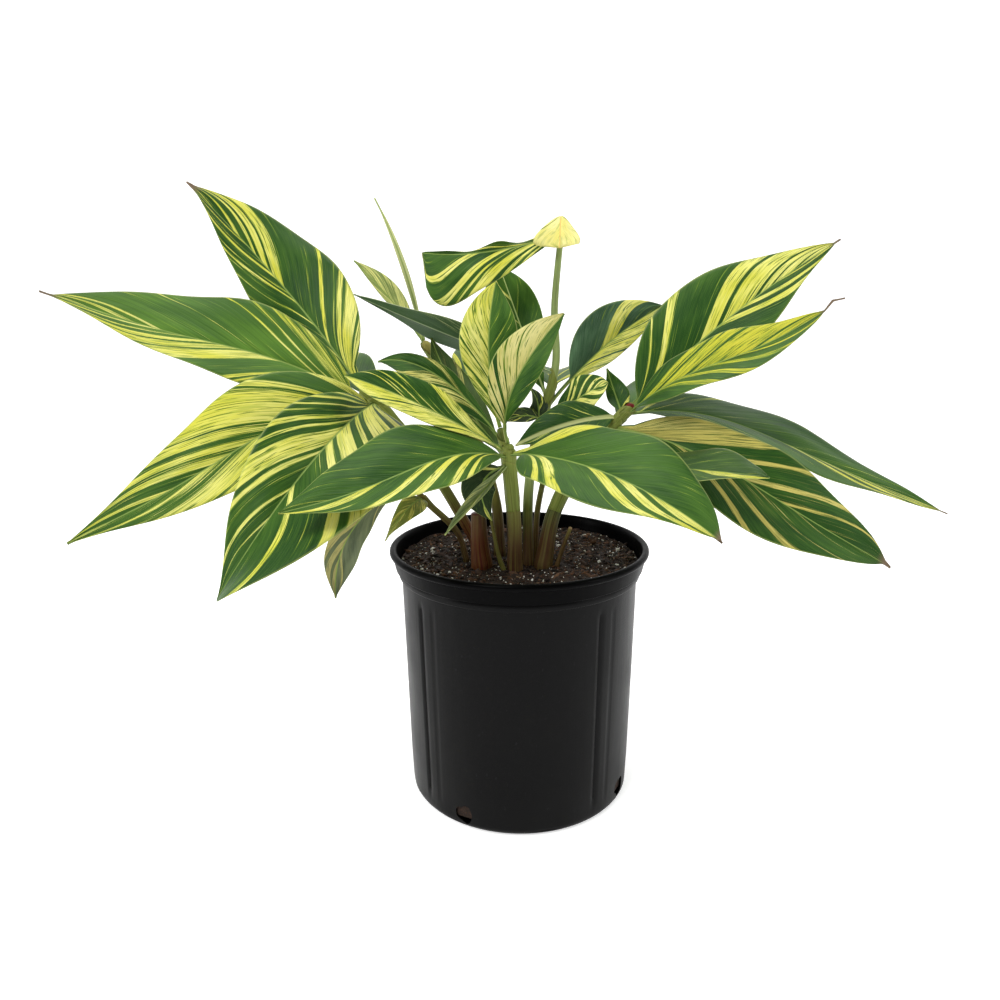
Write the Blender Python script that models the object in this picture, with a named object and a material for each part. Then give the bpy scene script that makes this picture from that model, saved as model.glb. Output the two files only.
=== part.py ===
# Potted variegated ginger: leaves and canes standing in soil in a round nursery pot.
# Metres, +Z up. The origin is the middle of the pot's underside, and the front is -Y.

import math

import bmesh
import bpy
import numpy as np
from mathutils import Vector

# Clear distance between two pieces that touch
GAP = 0.0003

# Pot: a thin wall with a rounded lip over a tapering band and a narrower collar
POT_HEIGHT = 0.252
LIP_RADIUS = 0.1275
LIP_ROUND = 0.0034
LIP_TURN = (-50, 150)
BAND_RADIUS = 0.1220
BAND_BOTTOM = 0.2315
COLLAR_RADIUS = 0.1190
COLLAR_BOTTOM = 0.2245
SHOULDER_RADIUS = 0.1165
FOOT_RADIUS = 0.1117
FOOT_CORNER = 0.007
WALL = 0.0022
FLOOR = 0.0060
STEP_SLOPE = 0.0008
LIP_DROP = 0.008
SHOULDER_DROP = 0.002
POT_SIDES = 48
# Four grooves run down the outside, and four drain holes pierce the foot
QUARTERS = 4
GROOVE_TURN = -142
GROOVE_WIDTH = 0.0045
GROOVE_DEPTH = 0.0009
GROOVE_TOP = 0.217
GROOVE_BOTTOM = 0.012
DRAIN_TURN = -119
DRAIN_RADIUS = 0.0092
DRAIN_HEIGHT = 0.0145
DRAIN_SIDES = 10
CUTTER_REACH = 0.010
# A shallow ring pressed into the underside leaves a flat middle and a flat rim
RING_INNER = 0.034
RING_OUTER = 0.088
RING_DEPTH = 0.003
RING_SLOPE = 0.004

# Soil
SOIL_LEVEL = 0.2380
SOIL_CROWN = 0.0030
SOIL_EDGE = 0.1165
CANE_DEPTH = 0.040
SOIL_RINGS = (1.0, 0.6, 0.3, 0.0)

# Leaves and canes
BLADE_THICKNESS = 0.0008
RIB_THICKNESS = 0.0020
PETIOLE_WIDTH = 0.0017
TIP_WIDTH = 0.0007
CANE_SIDES = 10
CANE_STEPS = 4
SHARP_ANGLE = 40
BLADE_SHARP_ANGLE = 60
# What a leaf has where its own plan says nothing
WIDEST = .42
FOLD = 12
STALK_SHARE = .04
# Fullness fades along the leaf by this power; the margin ripples by a share of the width
HEEL_POWER = 0.6
RIPPLE = .05
WAVES = 2.5
WAVE_LEAN = 1.3
# Seating a leaf stalk on its cane: most rounds, and how close to GAP it has to come
SEAT_ROUNDS = 40
SEAT_TOLERANCE = 0.00002
AXIS_REACH = 0.004

LEAF_GREEN = (0.052, 0.150, 0.045)
CANE_OLIVE = (0.230, 0.210, 0.075)
SOIL_BROWN = (0.045, 0.026, 0.016)
POT_BLACK = (0.012, 0.012, 0.013)


def clearScene():
    for item in list(bpy.data.objects):
        bpy.data.objects.remove(item, do_unlink=True)


def material(name, colour, roughness):
    made = bpy.data.materials.get(name) or bpy.data.materials.new(name)
    made.use_nodes = True
    shader = made.node_tree.nodes["Principled BSDF"]
    shader.inputs["Base Color"].default_value = (*colour, 1.0)
    shader.inputs["Roughness"].default_value = roughness
    shader.inputs["Metallic"].default_value = 0.0
    return made


def meshObject(name, vertices, faces, look, sharpAngle=SHARP_ANGLE):
    mesh = bpy.data.meshes.new(name)
    mesh.from_pydata([tuple(v) for v in vertices], [], faces)
    work = bmesh.new()
    work.from_mesh(mesh)
    bmesh.ops.recalc_face_normals(work, faces=work.faces[:])
    work.to_mesh(mesh)
    work.free()
    mesh.shade_smooth()
    mesh.set_sharp_from_angle(angle=math.radians(sharpAngle))
    made = bpy.data.objects.new(name, mesh)
    made.data.materials.append(look)
    bpy.context.scene.collection.objects.link(made)
    return made


def asCutter(item):
    item.hide_render = True
    item.display_type = "WIRE"
    return item


def cut(item, cutter):
    step = item.modifiers.new(cutter.name, "BOOLEAN")
    step.operation = "DIFFERENCE"
    step.solver = "EXACT"
    step.object = asCutter(cutter)


# Turned pieces: a closed outline of (radius, height) points spun about the Z axis
def turned(name, outline, sides, look):
    count = len(outline)
    vertices = []
    for side in range(sides):
        turn = 2 * math.pi * side / sides
        for radius, height in outline:
            vertices.append((radius * math.cos(turn), radius * math.sin(turn), height))
    faces = []
    for side in range(sides):
        following = (side + 1) % sides
        for k in range(count):
            other = (k + 1) % count
            a, b = side * count + k, side * count + other
            c, d = following * count + other, following * count + k
            faces.append((a, b, c, d))
    made = meshObject(name, vertices, faces, look)
    weld(made)
    return made


def weld(item):
    work = bmesh.new()
    work.from_mesh(item.data)
    bmesh.ops.remove_doubles(work, verts=work.verts[:], dist=0.00001)
    bmesh.ops.recalc_face_normals(work, faces=work.faces[:])
    work.to_mesh(item.data)
    work.free()


def arc(centre, radius, start, end, steps):
    points = []
    for k in range(steps + 1):
        turn = math.radians(start + (end - start) * k / steps)
        points.append((centre[0] + radius * math.cos(turn), centre[1] + radius * math.sin(turn)))
    return points


def bodyRadius(height):
    return FOOT_RADIUS + (SHOULDER_RADIUS - FOOT_RADIUS) * height / COLLAR_BOTTOM


def underside(level):
    return [
        (0.0, level),
        (RING_INNER, level),
        (RING_INNER + RING_SLOPE, level + RING_DEPTH),
        (RING_OUTER - RING_SLOPE, level + RING_DEPTH),
        (RING_OUTER, level),
    ]


def potOutline():
    outer = underside(0.0)
    outer += arc((FOOT_RADIUS - FOOT_CORNER, FOOT_CORNER), FOOT_CORNER, -90, 0, 3)
    outer += [
        (bodyRadius(GROOVE_TOP), GROOVE_TOP),
        (SHOULDER_RADIUS, COLLAR_BOTTOM - STEP_SLOPE),
        (COLLAR_RADIUS - STEP_SLOPE, COLLAR_BOTTOM),
        (COLLAR_RADIUS, BAND_BOTTOM - 2 * STEP_SLOPE),
        (BAND_RADIUS - 2 * STEP_SLOPE, BAND_BOTTOM - STEP_SLOPE),
        (BAND_RADIUS, BAND_BOTTOM),
    ]
    outer += arc((LIP_RADIUS - LIP_ROUND, POT_HEIGHT - LIP_ROUND), LIP_ROUND, *LIP_TURN, 5)
    inner = [
        (LIP_RADIUS - 2 * LIP_ROUND, POT_HEIGHT - LIP_DROP),
        (BAND_RADIUS - WALL - 2 * STEP_SLOPE, BAND_BOTTOM + STEP_SLOPE),
        (SHOULDER_RADIUS - WALL, COLLAR_BOTTOM - SHOULDER_DROP),
        (FOOT_RADIUS - WALL, FLOOR + FOOT_CORNER / 2),
        (FOOT_RADIUS - FOOT_CORNER, FLOOR),
        (0.0, FLOOR),
    ]
    return outer + inner


def buildPot():
    look = material("pot plastic", POT_BLACK, 0.42)
    pot = turned("pot", potOutline(), POT_SIDES, look)
    for k in range(QUARTERS):
        quarter = 2 * math.pi * k / QUARTERS
        cut(pot, grooveCutter(f"groove cutter {k}", quarter + math.radians(GROOVE_TURN), look))
        cut(pot, drainCutter(f"drain cutter {k}", quarter + math.radians(DRAIN_TURN), look))
    return pot


# A slender bar that presses a groove into the wall's outer face
def grooveCutter(name, turn, look):
    out = Vector((math.cos(turn), math.sin(turn), 0))
    along = Vector((-math.sin(turn), math.cos(turn), 0))
    vertices = []
    for height in (GROOVE_BOTTOM, GROOVE_TOP):
        for reach in (bodyRadius(height) - GROOVE_DEPTH, bodyRadius(height) + CUTTER_REACH):
            for side in (-GROOVE_WIDTH / 2, GROOVE_WIDTH / 2):
                place = out * reach + along * side
                vertices.append((place.x, place.y, height))
    faces = [(0, 1, 3, 2), (4, 6, 7, 5), (0, 4, 5, 1), (2, 3, 7, 6), (0, 2, 6, 4), (1, 5, 7, 3)]
    return meshObject(name, vertices, faces, look)


def drainCutter(name, turn, look):
    work = bmesh.new()
    bmesh.ops.create_cone(work, cap_ends=True, segments=DRAIN_SIDES, radius1=DRAIN_RADIUS,
                          radius2=DRAIN_RADIUS, depth=2 * CUTTER_REACH)
    mesh = bpy.data.meshes.new(name)
    work.to_mesh(mesh)
    work.free()
    made = bpy.data.objects.new(name, mesh)
    made.data.materials.append(look)
    bpy.context.scene.collection.objects.link(made)
    made.location = (FOOT_RADIUS * math.cos(turn), FOOT_RADIUS * math.sin(turn), DRAIN_HEIGHT)
    made.rotation_euler = (0, math.pi / 2, turn)
    return made


# Smooth path through hand-placed points
def smoothPath(points, steps):
    p = np.array(points, float)
    p = np.vstack([2 * p[0] - p[1], p, 2 * p[-1] - p[-2]])
    rows = []
    for k in range(1, len(p) - 2):
        a, b, c, d = p[k - 1:k + 3]
        for step in range(steps):
            t = step / steps
            rows.append(0.5 * (2 * b + (c - a) * t + (2 * a - 5 * b + 4 * c - d) * t ** 2
                               + (3 * b - a - 3 * c + d) * t ** 3))
    rows.append(p[-2])
    return np.array(rows)


def tube(name, path, radii, look, sides=CANE_SIDES):
    tangents = np.gradient(path, axis=0)
    tangents /= np.linalg.norm(tangents, axis=1)[:, None]
    vertices = []
    for place, along, radius in zip(path, tangents, radii):
        side = np.cross(along, (0.0, 1.0, 0.0))
        side /= np.linalg.norm(side)
        front = np.cross(side, along)
        for k in range(sides):
            turn = 2 * math.pi * k / sides
            vertices.append(place + radius * (math.cos(turn) * side + math.sin(turn) * front))
    faces = []
    for row in range(len(path) - 1):
        for k in range(sides):
            other = (k + 1) % sides
            a, b = row * sides + k, row * sides + other
            faces.append((a, b, b + sides, a + sides))
    faces.append(tuple(reversed(range(sides))))
    last = (len(path) - 1) * sides
    faces.append(tuple(range(last, last + sides)))
    return meshObject(name, vertices, faces, look)


# Canes: points from just above the soil up, with the radius at the foot and at the top.
# Each also goes straight down into the soil from the first point.
CANES = {
    "cane_front": dict(
        points=[(-.005, -.050, .242), (-.005, -.048, .285), (-.009, -.049, .335), (-.011, -.054, .360)],
        radius=(.0068, .0050)),
    "cane_inner": dict(
        points=[(-.006, -.029, .242), (-.009, -.026, .305), (-.014, -.030, .352), (-.018, -.036, .372)],
        radius=(.0050, .0038)),
    "cane_sprout": dict(
        points=[(-.0155, -.054, .242), (-.0205, -.050, .256), (-.0270, -.042, .287)],
        radius=(.0021, .0014)),
    "cane_tall": dict(
        points=[(.008, -.033, .242), (.009, -.010, .304), (.018, .028, .350), (.038, .050, .420),
                (.037, .056, .480), (.043, .060, .550)],
        radius=(.0052, .0030)),
    "cane_slim": dict(
        points=[(.0155, -.019, .242), (.018, -.002, .283), (.028, .014, .330), (.034, .022, .372)],
        radius=(.0030, .0025)),
    "cane_right": dict(
        points=[(.022, -.040, .242), (.034, -.024, .292), (.066, -.010, .345), (.108, -.010, .390)],
        radius=(.0080, .0046)),
    "cane_cut": dict(
        points=[(.035, -.043, .242), (.040, -.039, .257), (.048, -.037, .278)],
        radius=(.0020, .0018)),
    "cane_stump": dict(
        points=[(-.036, -.038, .242), (-.038, -.034, .260), (-.039, -.032, .292)],
        radius=(.0092, .0070)),
    "cane_left": dict(
        points=[(-.036, -.011, .242), (-.051, .004, .267), (-.082, .014, .318), (-.122, .008, .375),
                (-.152, .004, .404)],
        radius=(.0056, .0044)),
    "cane_low": dict(
        points=[(-.0515, -.022, .242), (-.061, -.010, .267), (-.088, -.010, .295), (-.108, -.018, .322)],
        radius=(.0028, .0022)),
    "cane_back": dict(
        points=[(-.019, .000, .242), (-.024, .022, .294), (-.050, .046, .370), (-.094, .050, .448)],
        radius=(.0056, .0042)),
}


class Cane:
    def __init__(self, name, points, radius):
        foot = points[0]
        self.name = name
        above = smoothPath(points, CANE_STEPS)
        below = np.array([(foot[0], foot[1], foot[2] - CANE_DEPTH)])
        self.path = np.vstack([below, above])
        heights = np.clip((self.path[:, 2] - foot[2]) / (self.path[-1, 2] - foot[2]), 0, 1)
        self.radii = radius[0] + (radius[1] - radius[0]) * heights

    def at(self, height):
        place = [np.interp(height, self.path[:, 2], self.path[:, k]) for k in range(3)]
        return np.array(place), float(np.interp(height, self.path[:, 2], self.radii))

    # Distance from points to the cane's skin, negative inside
    def clearance(self, points):
        a, b = self.path[:-1], self.path[1:]
        best = np.full(len(points), 1.0)
        for k in range(len(a)):
            run = b[k] - a[k]
            share = np.clip((points - a[k]) @ run / (run @ run), 0, 1)
            nearest = a[k] + share[:, None] * run
            radius = self.radii[k] + (self.radii[k + 1] - self.radii[k]) * share
            best = np.minimum(best, np.linalg.norm(points - nearest, axis=1) - radius)
        return best.min()


def buildCanes():
    look = material("cane skin", CANE_OLIVE, 0.45)
    canes = {}
    for name, plan in CANES.items():
        cane = Cane(name, **plan)
        tube(name, cane.path, cane.radii, look)
        canes[name] = cane
    return canes


def buildSoil(canes):
    look = material("potting soil", SOIL_BROWN, 0.95)
    outline = [
        (0.0, FLOOR + GAP),
        (FOOT_RADIUS - FOOT_CORNER - GAP, FLOOR + GAP),
        (FOOT_RADIUS - WALL - GAP, FLOOR + FOOT_CORNER / 2 + GAP),
        (SHOULDER_RADIUS - WALL - GAP, COLLAR_BOTTOM - SHOULDER_DROP),
        (BAND_RADIUS - WALL - 2 * STEP_SLOPE - GAP, BAND_BOTTOM + STEP_SLOPE),
    ]
    outline += [(share * SOIL_EDGE, SOIL_LEVEL + SOIL_CROWN * (1 - share ** 2)) for share in SOIL_RINGS]
    soil = turned("soil", outline, POT_SIDES, look)
    for cane in canes.values():
        bottom, foot = cane.path[0], cane.path[1]
        path = np.array([bottom - (0, 0, GAP), foot + (0, 0, SOIL_CROWN)])
        cut(soil, tube(f"hole of {cane.name}", path, cane.radii[:2] + GAP, look))
    return soil


# Leaves. A midrib runs from a seat on its cane through a shoulder to the tip, and the two halves
# of the blade fold up from it. Left and right are seen from the base with the upper face up.
def bezier(start, middle, end, t):
    t = t[:, None]
    return (1 - t) ** 2 * start + 2 * t * (1 - t) * middle + t ** 2 * end


def blade(start, plan, stations, strips):
    shoulder, tip = np.array(plan["shoulder"], float), np.array(plan["tip"], float)
    t = np.linspace(0, 1, stations + 1)
    rib = bezier(start, shoulder, tip, t)
    along = 2 * (1 - t)[:, None] * (shoulder - start) + 2 * t[:, None] * (tip - shoulder)
    bow = plan.get("bow", 0.0)
    rib[:, 2] += bow * np.sin(2 * np.pi * t)
    along[:, 2] += bow * 2 * np.pi * np.cos(2 * np.pi * t)
    along /= np.linalg.norm(along, axis=1)[:, None]
    up = np.array((0.0, -1.0, 0.0) if plan.get("upright") else (0.0, 0.0, 1.0))
    side = np.cross(along, up)
    side /= np.linalg.norm(side, axis=1)[:, None]
    lift = np.cross(side, along)
    first, last = plan.get("roll", (0, 0))
    roll = np.radians(first + (last - first) * t)[:, None]
    side, lift = np.cos(roll) * side + np.sin(roll) * lift, np.cos(roll) * lift - np.sin(roll) * side
    widest, blunt = plan.get("widest", WIDEST), plan.get("taper", 1.0)
    bare = plan.get("petiole", STALK_SHARE)
    grown = np.clip((t - bare) / (1 - bare), 0, 1) ** (math.log(0.5) / math.log(widest))
    shape = np.sin(np.pi * grown) ** blunt
    slender = PETIOLE_WIDTH * (1 - t) + TIP_WIDTH * t
    rows = np.zeros((stations + 1, strips + 1, 3))
    for k in range(strips + 1):
        across = 2 * k / strips - 1
        half = 0 if across < 0 else 1
        fold = np.radians(plan.get("fold", (FOLD, FOLD))[half])
        share = plan.get("sides", (1, 1))[half]
        fullness = plan.get("heel", (0, 0))[half] * np.sin(np.pi * t) ** HEEL_POWER * (1 - shape)
        width = np.maximum(plan["halfWidth"] * (shape + fullness), slender)
        reach = share * width * abs(across)
        waves = RIPPLE * width * across ** 2
        waves = waves * np.sin(2 * np.pi * WAVES * t + WAVE_LEAN * across)
        rise = reach * math.sin(fold) + waves
        run = reach * math.cos(fold) * np.sign(across)
        rows[:, k] = rib + run[:, None] * side + rise[:, None] * lift
    return rows


def leafSolid(rows):
    stations, across = rows.shape[:2]
    alongRows = np.gradient(rows, axis=0)
    acrossRows = np.gradient(rows, axis=1)
    normal = np.cross(acrossRows, alongRows)
    normal /= np.linalg.norm(normal, axis=2)[:, :, None]
    middle = 1 - np.abs(np.linspace(-1, 1, across))
    share = np.linspace(0, 1, stations)[:, None]
    thick = BLADE_THICKNESS + (RIB_THICKNESS - BLADE_THICKNESS) * (1 - share) * (middle == 1)[None, :]
    under = rows - normal * thick[:, :, None]
    vertices = list(rows.reshape(-1, 3)) + list(under.reshape(-1, 3))
    below = stations * across
    faces = []
    for i in range(stations - 1):
        for j in range(across - 1):
            a, b = i * across + j, i * across + j + 1
            c, d = a + across, b + across
            if j < across // 2:
                halves = [(a, b, d), (a, d, c)]
            else:
                halves = [(a, b, c), (b, d, c)]
            for one in halves:
                faces.append(one)
                faces.append(tuple(below + v for v in reversed(one)))
        for edge in (0, across - 1):
            a, c = i * across + edge, (i + 1) * across + edge
            faces.append((a, c, below + c, below + a))
    for row in (0, stations - 1):
        line = [row * across + j for j in range(across)]
        faces.append(tuple(line + [below + v for v in reversed(line)]))
    return vertices, faces


# The corners of the blade and three points between each one and the next along the leaf
def alongEdges(vertices, across):
    steps = vertices[across:] - vertices[:-across]
    return np.vstack([vertices] + [vertices[:-across] + share * steps for share in (.25, .5, .75)])


# Lifts the leaf's base along the cane until its stalk clears the cane's flat end by GAP
def seatOnTop(cane, plan, stations, strips):
    end = cane.path[-1]
    along = end - cane.path[-2]
    along /= np.linalg.norm(along)
    start = end
    for _ in range(SEAT_ROUNDS):
        vertices = leafSolid(blade(start, plan, stations, strips)[:3])[0]
        room = float(((np.array(vertices) - end) @ along).min())
        if abs(room - GAP) < SEAT_TOLERANCE:
            break
        start = start + along * (GAP - room)
    return start


# Moves the leaf's base out from the cane's middle until its stalk clears the skin by GAP
def seatOn(cane, plan, stations, strips):
    centre, radius = cane.at(plan["height"])
    axis = cane.at(plan["height"] + AXIS_REACH)[0] - cane.at(plan["height"] - AXIS_REACH)[0]
    axis /= np.linalg.norm(axis)
    toward = np.array(plan["shoulder"], float) - centre
    toward -= (toward @ axis) * axis
    toward /= np.linalg.norm(toward)
    start = centre + toward * radius
    for _ in range(SEAT_ROUNDS):
        vertices = leafSolid(blade(start, plan, stations, strips))[0]
        room = cane.clearance(alongEdges(np.array(vertices), strips + 1))
        if abs(room - GAP) < SEAT_TOLERANCE:
            break
        start = start + toward * (GAP - room)
    return start


# Each leaf: its cane and the height of its seat there, or onTop where it ends the cane, the point
# that its midrib bends toward, its tip, the bow that lifts the midrib near the stalk and lowers it
# near the tip, its half width, the blade's roll at base and tip in degrees, the fold of its left and
# right half, each half's share of the width, where it is widest, how blunt its ends are, how full each
# half is near the stalk, the length of bare stalk, and its stations and strips as its grid.
LEAVES = {
    # Left-hand cane
    "leaf_left_rising": dict(
        cane="cane_left", height=.403, shoulder=(-.228, .085, .498), tip=(-.312, .040, .596),
        halfWidth=.054, roll=(62, 40), fold=(4, 10), sides=(.7, 1), widest=.44, taper=.85,
        heel=(0, .4), petiole=.09, grid=(13, 4)),
    "leaf_left_long": dict(
        cane="cane_left", height=.391, shoulder=(-.280, .018, .452), tip=(-.396, -.080, .494),
        bow=.005, halfWidth=.055, roll=(48, 34), fold=(12, 12), sides=(.94, 1), widest=.44, taper=.80,
        petiole=.08, grid=(13, 4)),
    "leaf_left_drooping": dict(
        cane="cane_left", height=.386, shoulder=(-.226, -.078, .390), tip=(-.362, -.150, .298),
        bow=.008, halfWidth=.049, roll=(56, 42), fold=(8, 8), sides=(.85, 1), widest=.40, taper=1.05,
        grid=(13, 4)),
    "leaf_left_front": dict(
        cane="cane_left", height=.392, shoulder=(-.160, -.170, .380), tip=(-.240, -.170, .257),
        halfWidth=.056, roll=(48, 34), fold=(25, 12), sides=(1.35, .8), widest=.42, taper=.90,
        heel=(.6, 0), grid=(13, 4)),
    "leaf_left_small": dict(
        cane="cane_low", height=.300, shoulder=(-.099, -.054, .312), tip=(-.125, -.052, .270),
        halfWidth=.014, roll=(30, 30), sides=(1, .7), grid=(8, 4)),
    "leaf_left_hanging": dict(
        cane="cane_low", height=.318, shoulder=(-.180, -.032, .280), tip=(-.174, -.050, .213),
        halfWidth=.026, roll=(30, 30), fold=(10, 10), sides=(.9, .7), widest=.5, grid=(10, 4)),
    # Front cane
    "leaf_front_left": dict(
        cane="cane_front", height=.350, shoulder=(-.085, -.158, .366), tip=(-.178, -.200, .334),
        bow=.005, halfWidth=.042, roll=(30, 22), fold=(12, 12), sides=(.9, 1), widest=.45, taper=.90,
        grid=(13, 4)),
    "leaf_front_right": dict(
        cane="cane_front", height=.352, shoulder=(.062, -.195, .376), tip=(.137, -.220, .316),
        halfWidth=.055, roll=(-24, -20), fold=(12, 12), sides=(.85, .9), widest=.42, taper=.90,
        heel=(.5, 0), petiole=.08, grid=(13, 4)),
    "leaf_front_high": dict(
        cane="cane_front", height=.355, shoulder=(-.094, -.085, .408), tip=(-.152, -.062, .422),
        halfWidth=.026, roll=(50, 50), fold=(30, 14), sides=(1, .85), widest=.5, grid=(11, 4)),
    "leaf_front_narrow": dict(
        cane="cane_front", height=.342, shoulder=(-.039, -.086, .317), tip=(-.067, -.090, .286),
        halfWidth=.007, roll=(20, 20), fold=(30, 30), widest=.5, grid=(9, 4)),
    "leaf_centre_short": dict(
        cane="cane_front", onTop=True, shoulder=(-.026, -.078, .406), tip=(.037, -.062, .473),
        upright=True, halfWidth=.034, fold=(10, 25), sides=(.8, .5), widest=.55, taper=.85,
        petiole=.18, grid=(11, 4)),
    # Inner cane
    "leaf_centre_tall": dict(
        cane="cane_inner", onTop=True, shoulder=(-.036, -.052, .436), tip=(-.021, -.040, .500),
        upright=True, halfWidth=.026, fold=(8, 8), widest=.60, taper=.85, grid=(11, 4)),
    "leaf_inner_left": dict(
        cane="cane_inner", height=.362, shoulder=(-.080, -.026, .443), tip=(-.128, -.030, .432),
        halfWidth=.024, roll=(50, 50), fold=(10, 10), sides=(1, .5), widest=.5, grid=(10, 4)),
    "leaf_inner_shaded": dict(
        cane="cane_inner", height=.345, shoulder=(-.070, .020, .405), tip=(-.084, .026, .451),
        halfWidth=.018, roll=(40, 40), grid=(9, 4)),
    "leaf_inner_hanging": dict(
        cane="cane_inner", height=.335, shoulder=(-.050, -.050, .328), tip=(-.026, -.055, .289),
        upright=True, halfWidth=.019, fold=(4, 4), sides=(.7, 1), widest=.5, grid=(8, 4)),
    # Right-hand cane
    "leaf_right_rising": dict(
        cane="cane_right", height=.388, shoulder=(.197, .040, .470), tip=(.301, .020, .539),
        halfWidth=.052, roll=(-58, -40), fold=(10, 10), sides=(1.05, .82), widest=.42, taper=.90,
        grid=(13, 4)),
    "leaf_right_level": dict(
        cane="cane_right", height=.384, shoulder=(.168, -.062, .430), tip=(.267, -.080, .484),
        bow=.005, halfWidth=.044, roll=(-45, -45), fold=(10, 25), sides=(.66, 1), widest=.42,
        taper=.95, grid=(12, 4)),
    "leaf_right_long": dict(
        cane="cane_right", height=.384, shoulder=(.240, .020, .374), tip=(.405, -.030, .287),
        bow=.006, halfWidth=.053, roll=(-16, -16), fold=(6, 6), widest=.45, taper=.90, grid=(13, 4)),
    "leaf_right_drooping": dict(
        cane="cane_right", height=.370, shoulder=(.190, -.104, .347), tip=(.312, -.115, .262),
        bow=.004, halfWidth=.054, roll=(-38, -38), fold=(14, 10), sides=(.75, .95), widest=.52,
        taper=.85, heel=(.42, 0), petiole=.07, grid=(13, 4)),
    "leaf_right_under": dict(
        cane="cane_right", height=.335, shoulder=(.143, -.140, .354), tip=(.184, -.170, .352),
        halfWidth=.037, roll=(-12, -12), fold=(8, 8), petiole=.14, grid=(10, 4)),
    "leaf_right_inner": dict(
        cane="cane_right", height=.376, shoulder=(.045, -.030, .380), tip=(-.004, -.040, .356),
        halfWidth=.024, roll=(40, 40), fold=(8, 8), grid=(10, 4)),
    "leaf_right_small": dict(
        cane="cane_right", height=.380, shoulder=(.096, .026, .393), tip=(.086, .020, .421),
        upright=True, halfWidth=.015, sides=(.6, .9), grid=(8, 4)),
    # Tall cane
    "leaf_right_curled": dict(
        cane="cane_tall", height=.385, shoulder=(.088, .062, .450), tip=(.145, .056, .480),
        upright=True, halfWidth=.0295, fold=(10, 25), sides=(1.2, .6), widest=.44, taper=.85,
        petiole=.20, grid=(11, 4)),
    "leaf_rear_broad": dict(
        cane="cane_tall", height=.392, shoulder=(.004, .085, .461), tip=(-.017, .090, .519),
        upright=True, halfWidth=.038, fold=(10, 10), sides=(1, .68), widest=.6, taper=.75,
        grid=(11, 4)),
    "leaf_middle_small": dict(
        cane="cane_tall", height=.362, shoulder=(.024, .036, .388), tip=(.012, .034, .402),
        halfWidth=.010, roll=(40, 40), grid=(7, 4)),
    "leaf_top_folded": dict(
        cane="cane_tall", height=.548, shoulder=(-.036, .045, .524), tip=(-.091, .030, .530),
        halfWidth=.054, roll=(66, 66), fold=(4, 4), sides=(1, .05), widest=.86, taper=.32,
        heel=(.2, 3), petiole=.0, grid=(13, 4)),
    "leaf_top_bract": dict(
        cane="cane_tall", height=.545, shoulder=(.041, .038, .588), tip=(.040, .036, .534),
        halfWidth=.025, roll=(0, 0), fold=(-16, -16), sides=(.8, 1.2), widest=.93, taper=.3,
        grid=(7, 4)),
    # Slim cane
    "leaf_middle_striped": dict(
        cane="cane_slim", onTop=True, shoulder=(.058, .012, .397), tip=(.085, .004, .409),
        halfWidth=.022, roll=(-50, -50), fold=(8, 8), widest=.55, taper=.7, grid=(9, 4)),
    "leaf_middle_low": dict(
        cane="cane_slim", height=.366, shoulder=(.010, .018, .384), tip=(-.016, .010, .371),
        halfWidth=.013, roll=(50, 50), sides=(.7, .7), petiole=.28, grid=(8, 4)),
    # Back cane
    "leaf_back_flat": dict(
        cane="cane_tall", height=.415, shoulder=(-.059, .004, .450), tip=(-.152, .0, .492),
        halfWidth=.026, roll=(-24, -24), fold=(6, 6), sides=(1, 1.3), grid=(12, 4)),
    "leaf_back_upright": dict(
        cane="cane_back", height=.444, shoulder=(-.116, .060, .480), tip=(-.163, .070, .526),
        upright=True, halfWidth=.014, fold=(6, 6), sides=(.35, 1), widest=.55, petiole=.15,
        grid=(9, 4)),
    "leaf_back_spike": dict(
        cane="cane_back", onTop=True, shoulder=(-.108, .050, .526), tip=(-.137, .050, .582),
        upright=True, halfWidth=.0032, grid=(9, 4)),
    # Leaves behind, which the front ones hide
    "leaf_rear_left": dict(
        cane="cane_left", height=.392, shoulder=(-.205, .110, .440), tip=(-.250, .200, .430),
        halfWidth=.036, roll=(0, 0), grid=(11, 4)),
    "leaf_rear_centre": dict(
        cane="cane_back", height=.400, shoulder=(-.010, .150, .455), tip=(-.017, .250, .417),
        halfWidth=.038, roll=(0, 0), grid=(11, 4)),
    "leaf_rear_middle": dict(
        cane="cane_tall", height=.400, shoulder=(.052, .150, .430), tip=(.055, .260, .385),
        halfWidth=.036, roll=(0, 0), grid=(11, 4)),
    "leaf_rear_right": dict(
        cane="cane_right", height=.372, shoulder=(.160, .090, .405), tip=(.205, .190, .392),
        halfWidth=.034, roll=(0, 0), grid=(11, 4)),
}


def buildLeaves(canes):
    look = material("leaf blade", LEAF_GREEN, 0.38)
    for name, plan in LEAVES.items():
        stations, strips = plan["grid"]
        seat = seatOnTop if plan.get("onTop") else seatOn
        start = seat(canes[plan["cane"]], plan, stations, strips)
        vertices, faces = leafSolid(blade(start, plan, stations, strips))
        meshObject(name, vertices, faces, look, BLADE_SHARP_ANGLE)


def main():
    clearScene()
    canes = buildCanes()
    buildPot()
    buildSoil(canes)
    buildLeaves(canes)


main()
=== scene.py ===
# Potted variegated ginger, dressed for the studio.
# Metres, +Z up, the front faces -Y and the origin is the middle of the pot's underside.
import math

import bmesh
import bpy
import numpy as np
from mathutils import Matrix, Vector, noise


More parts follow.
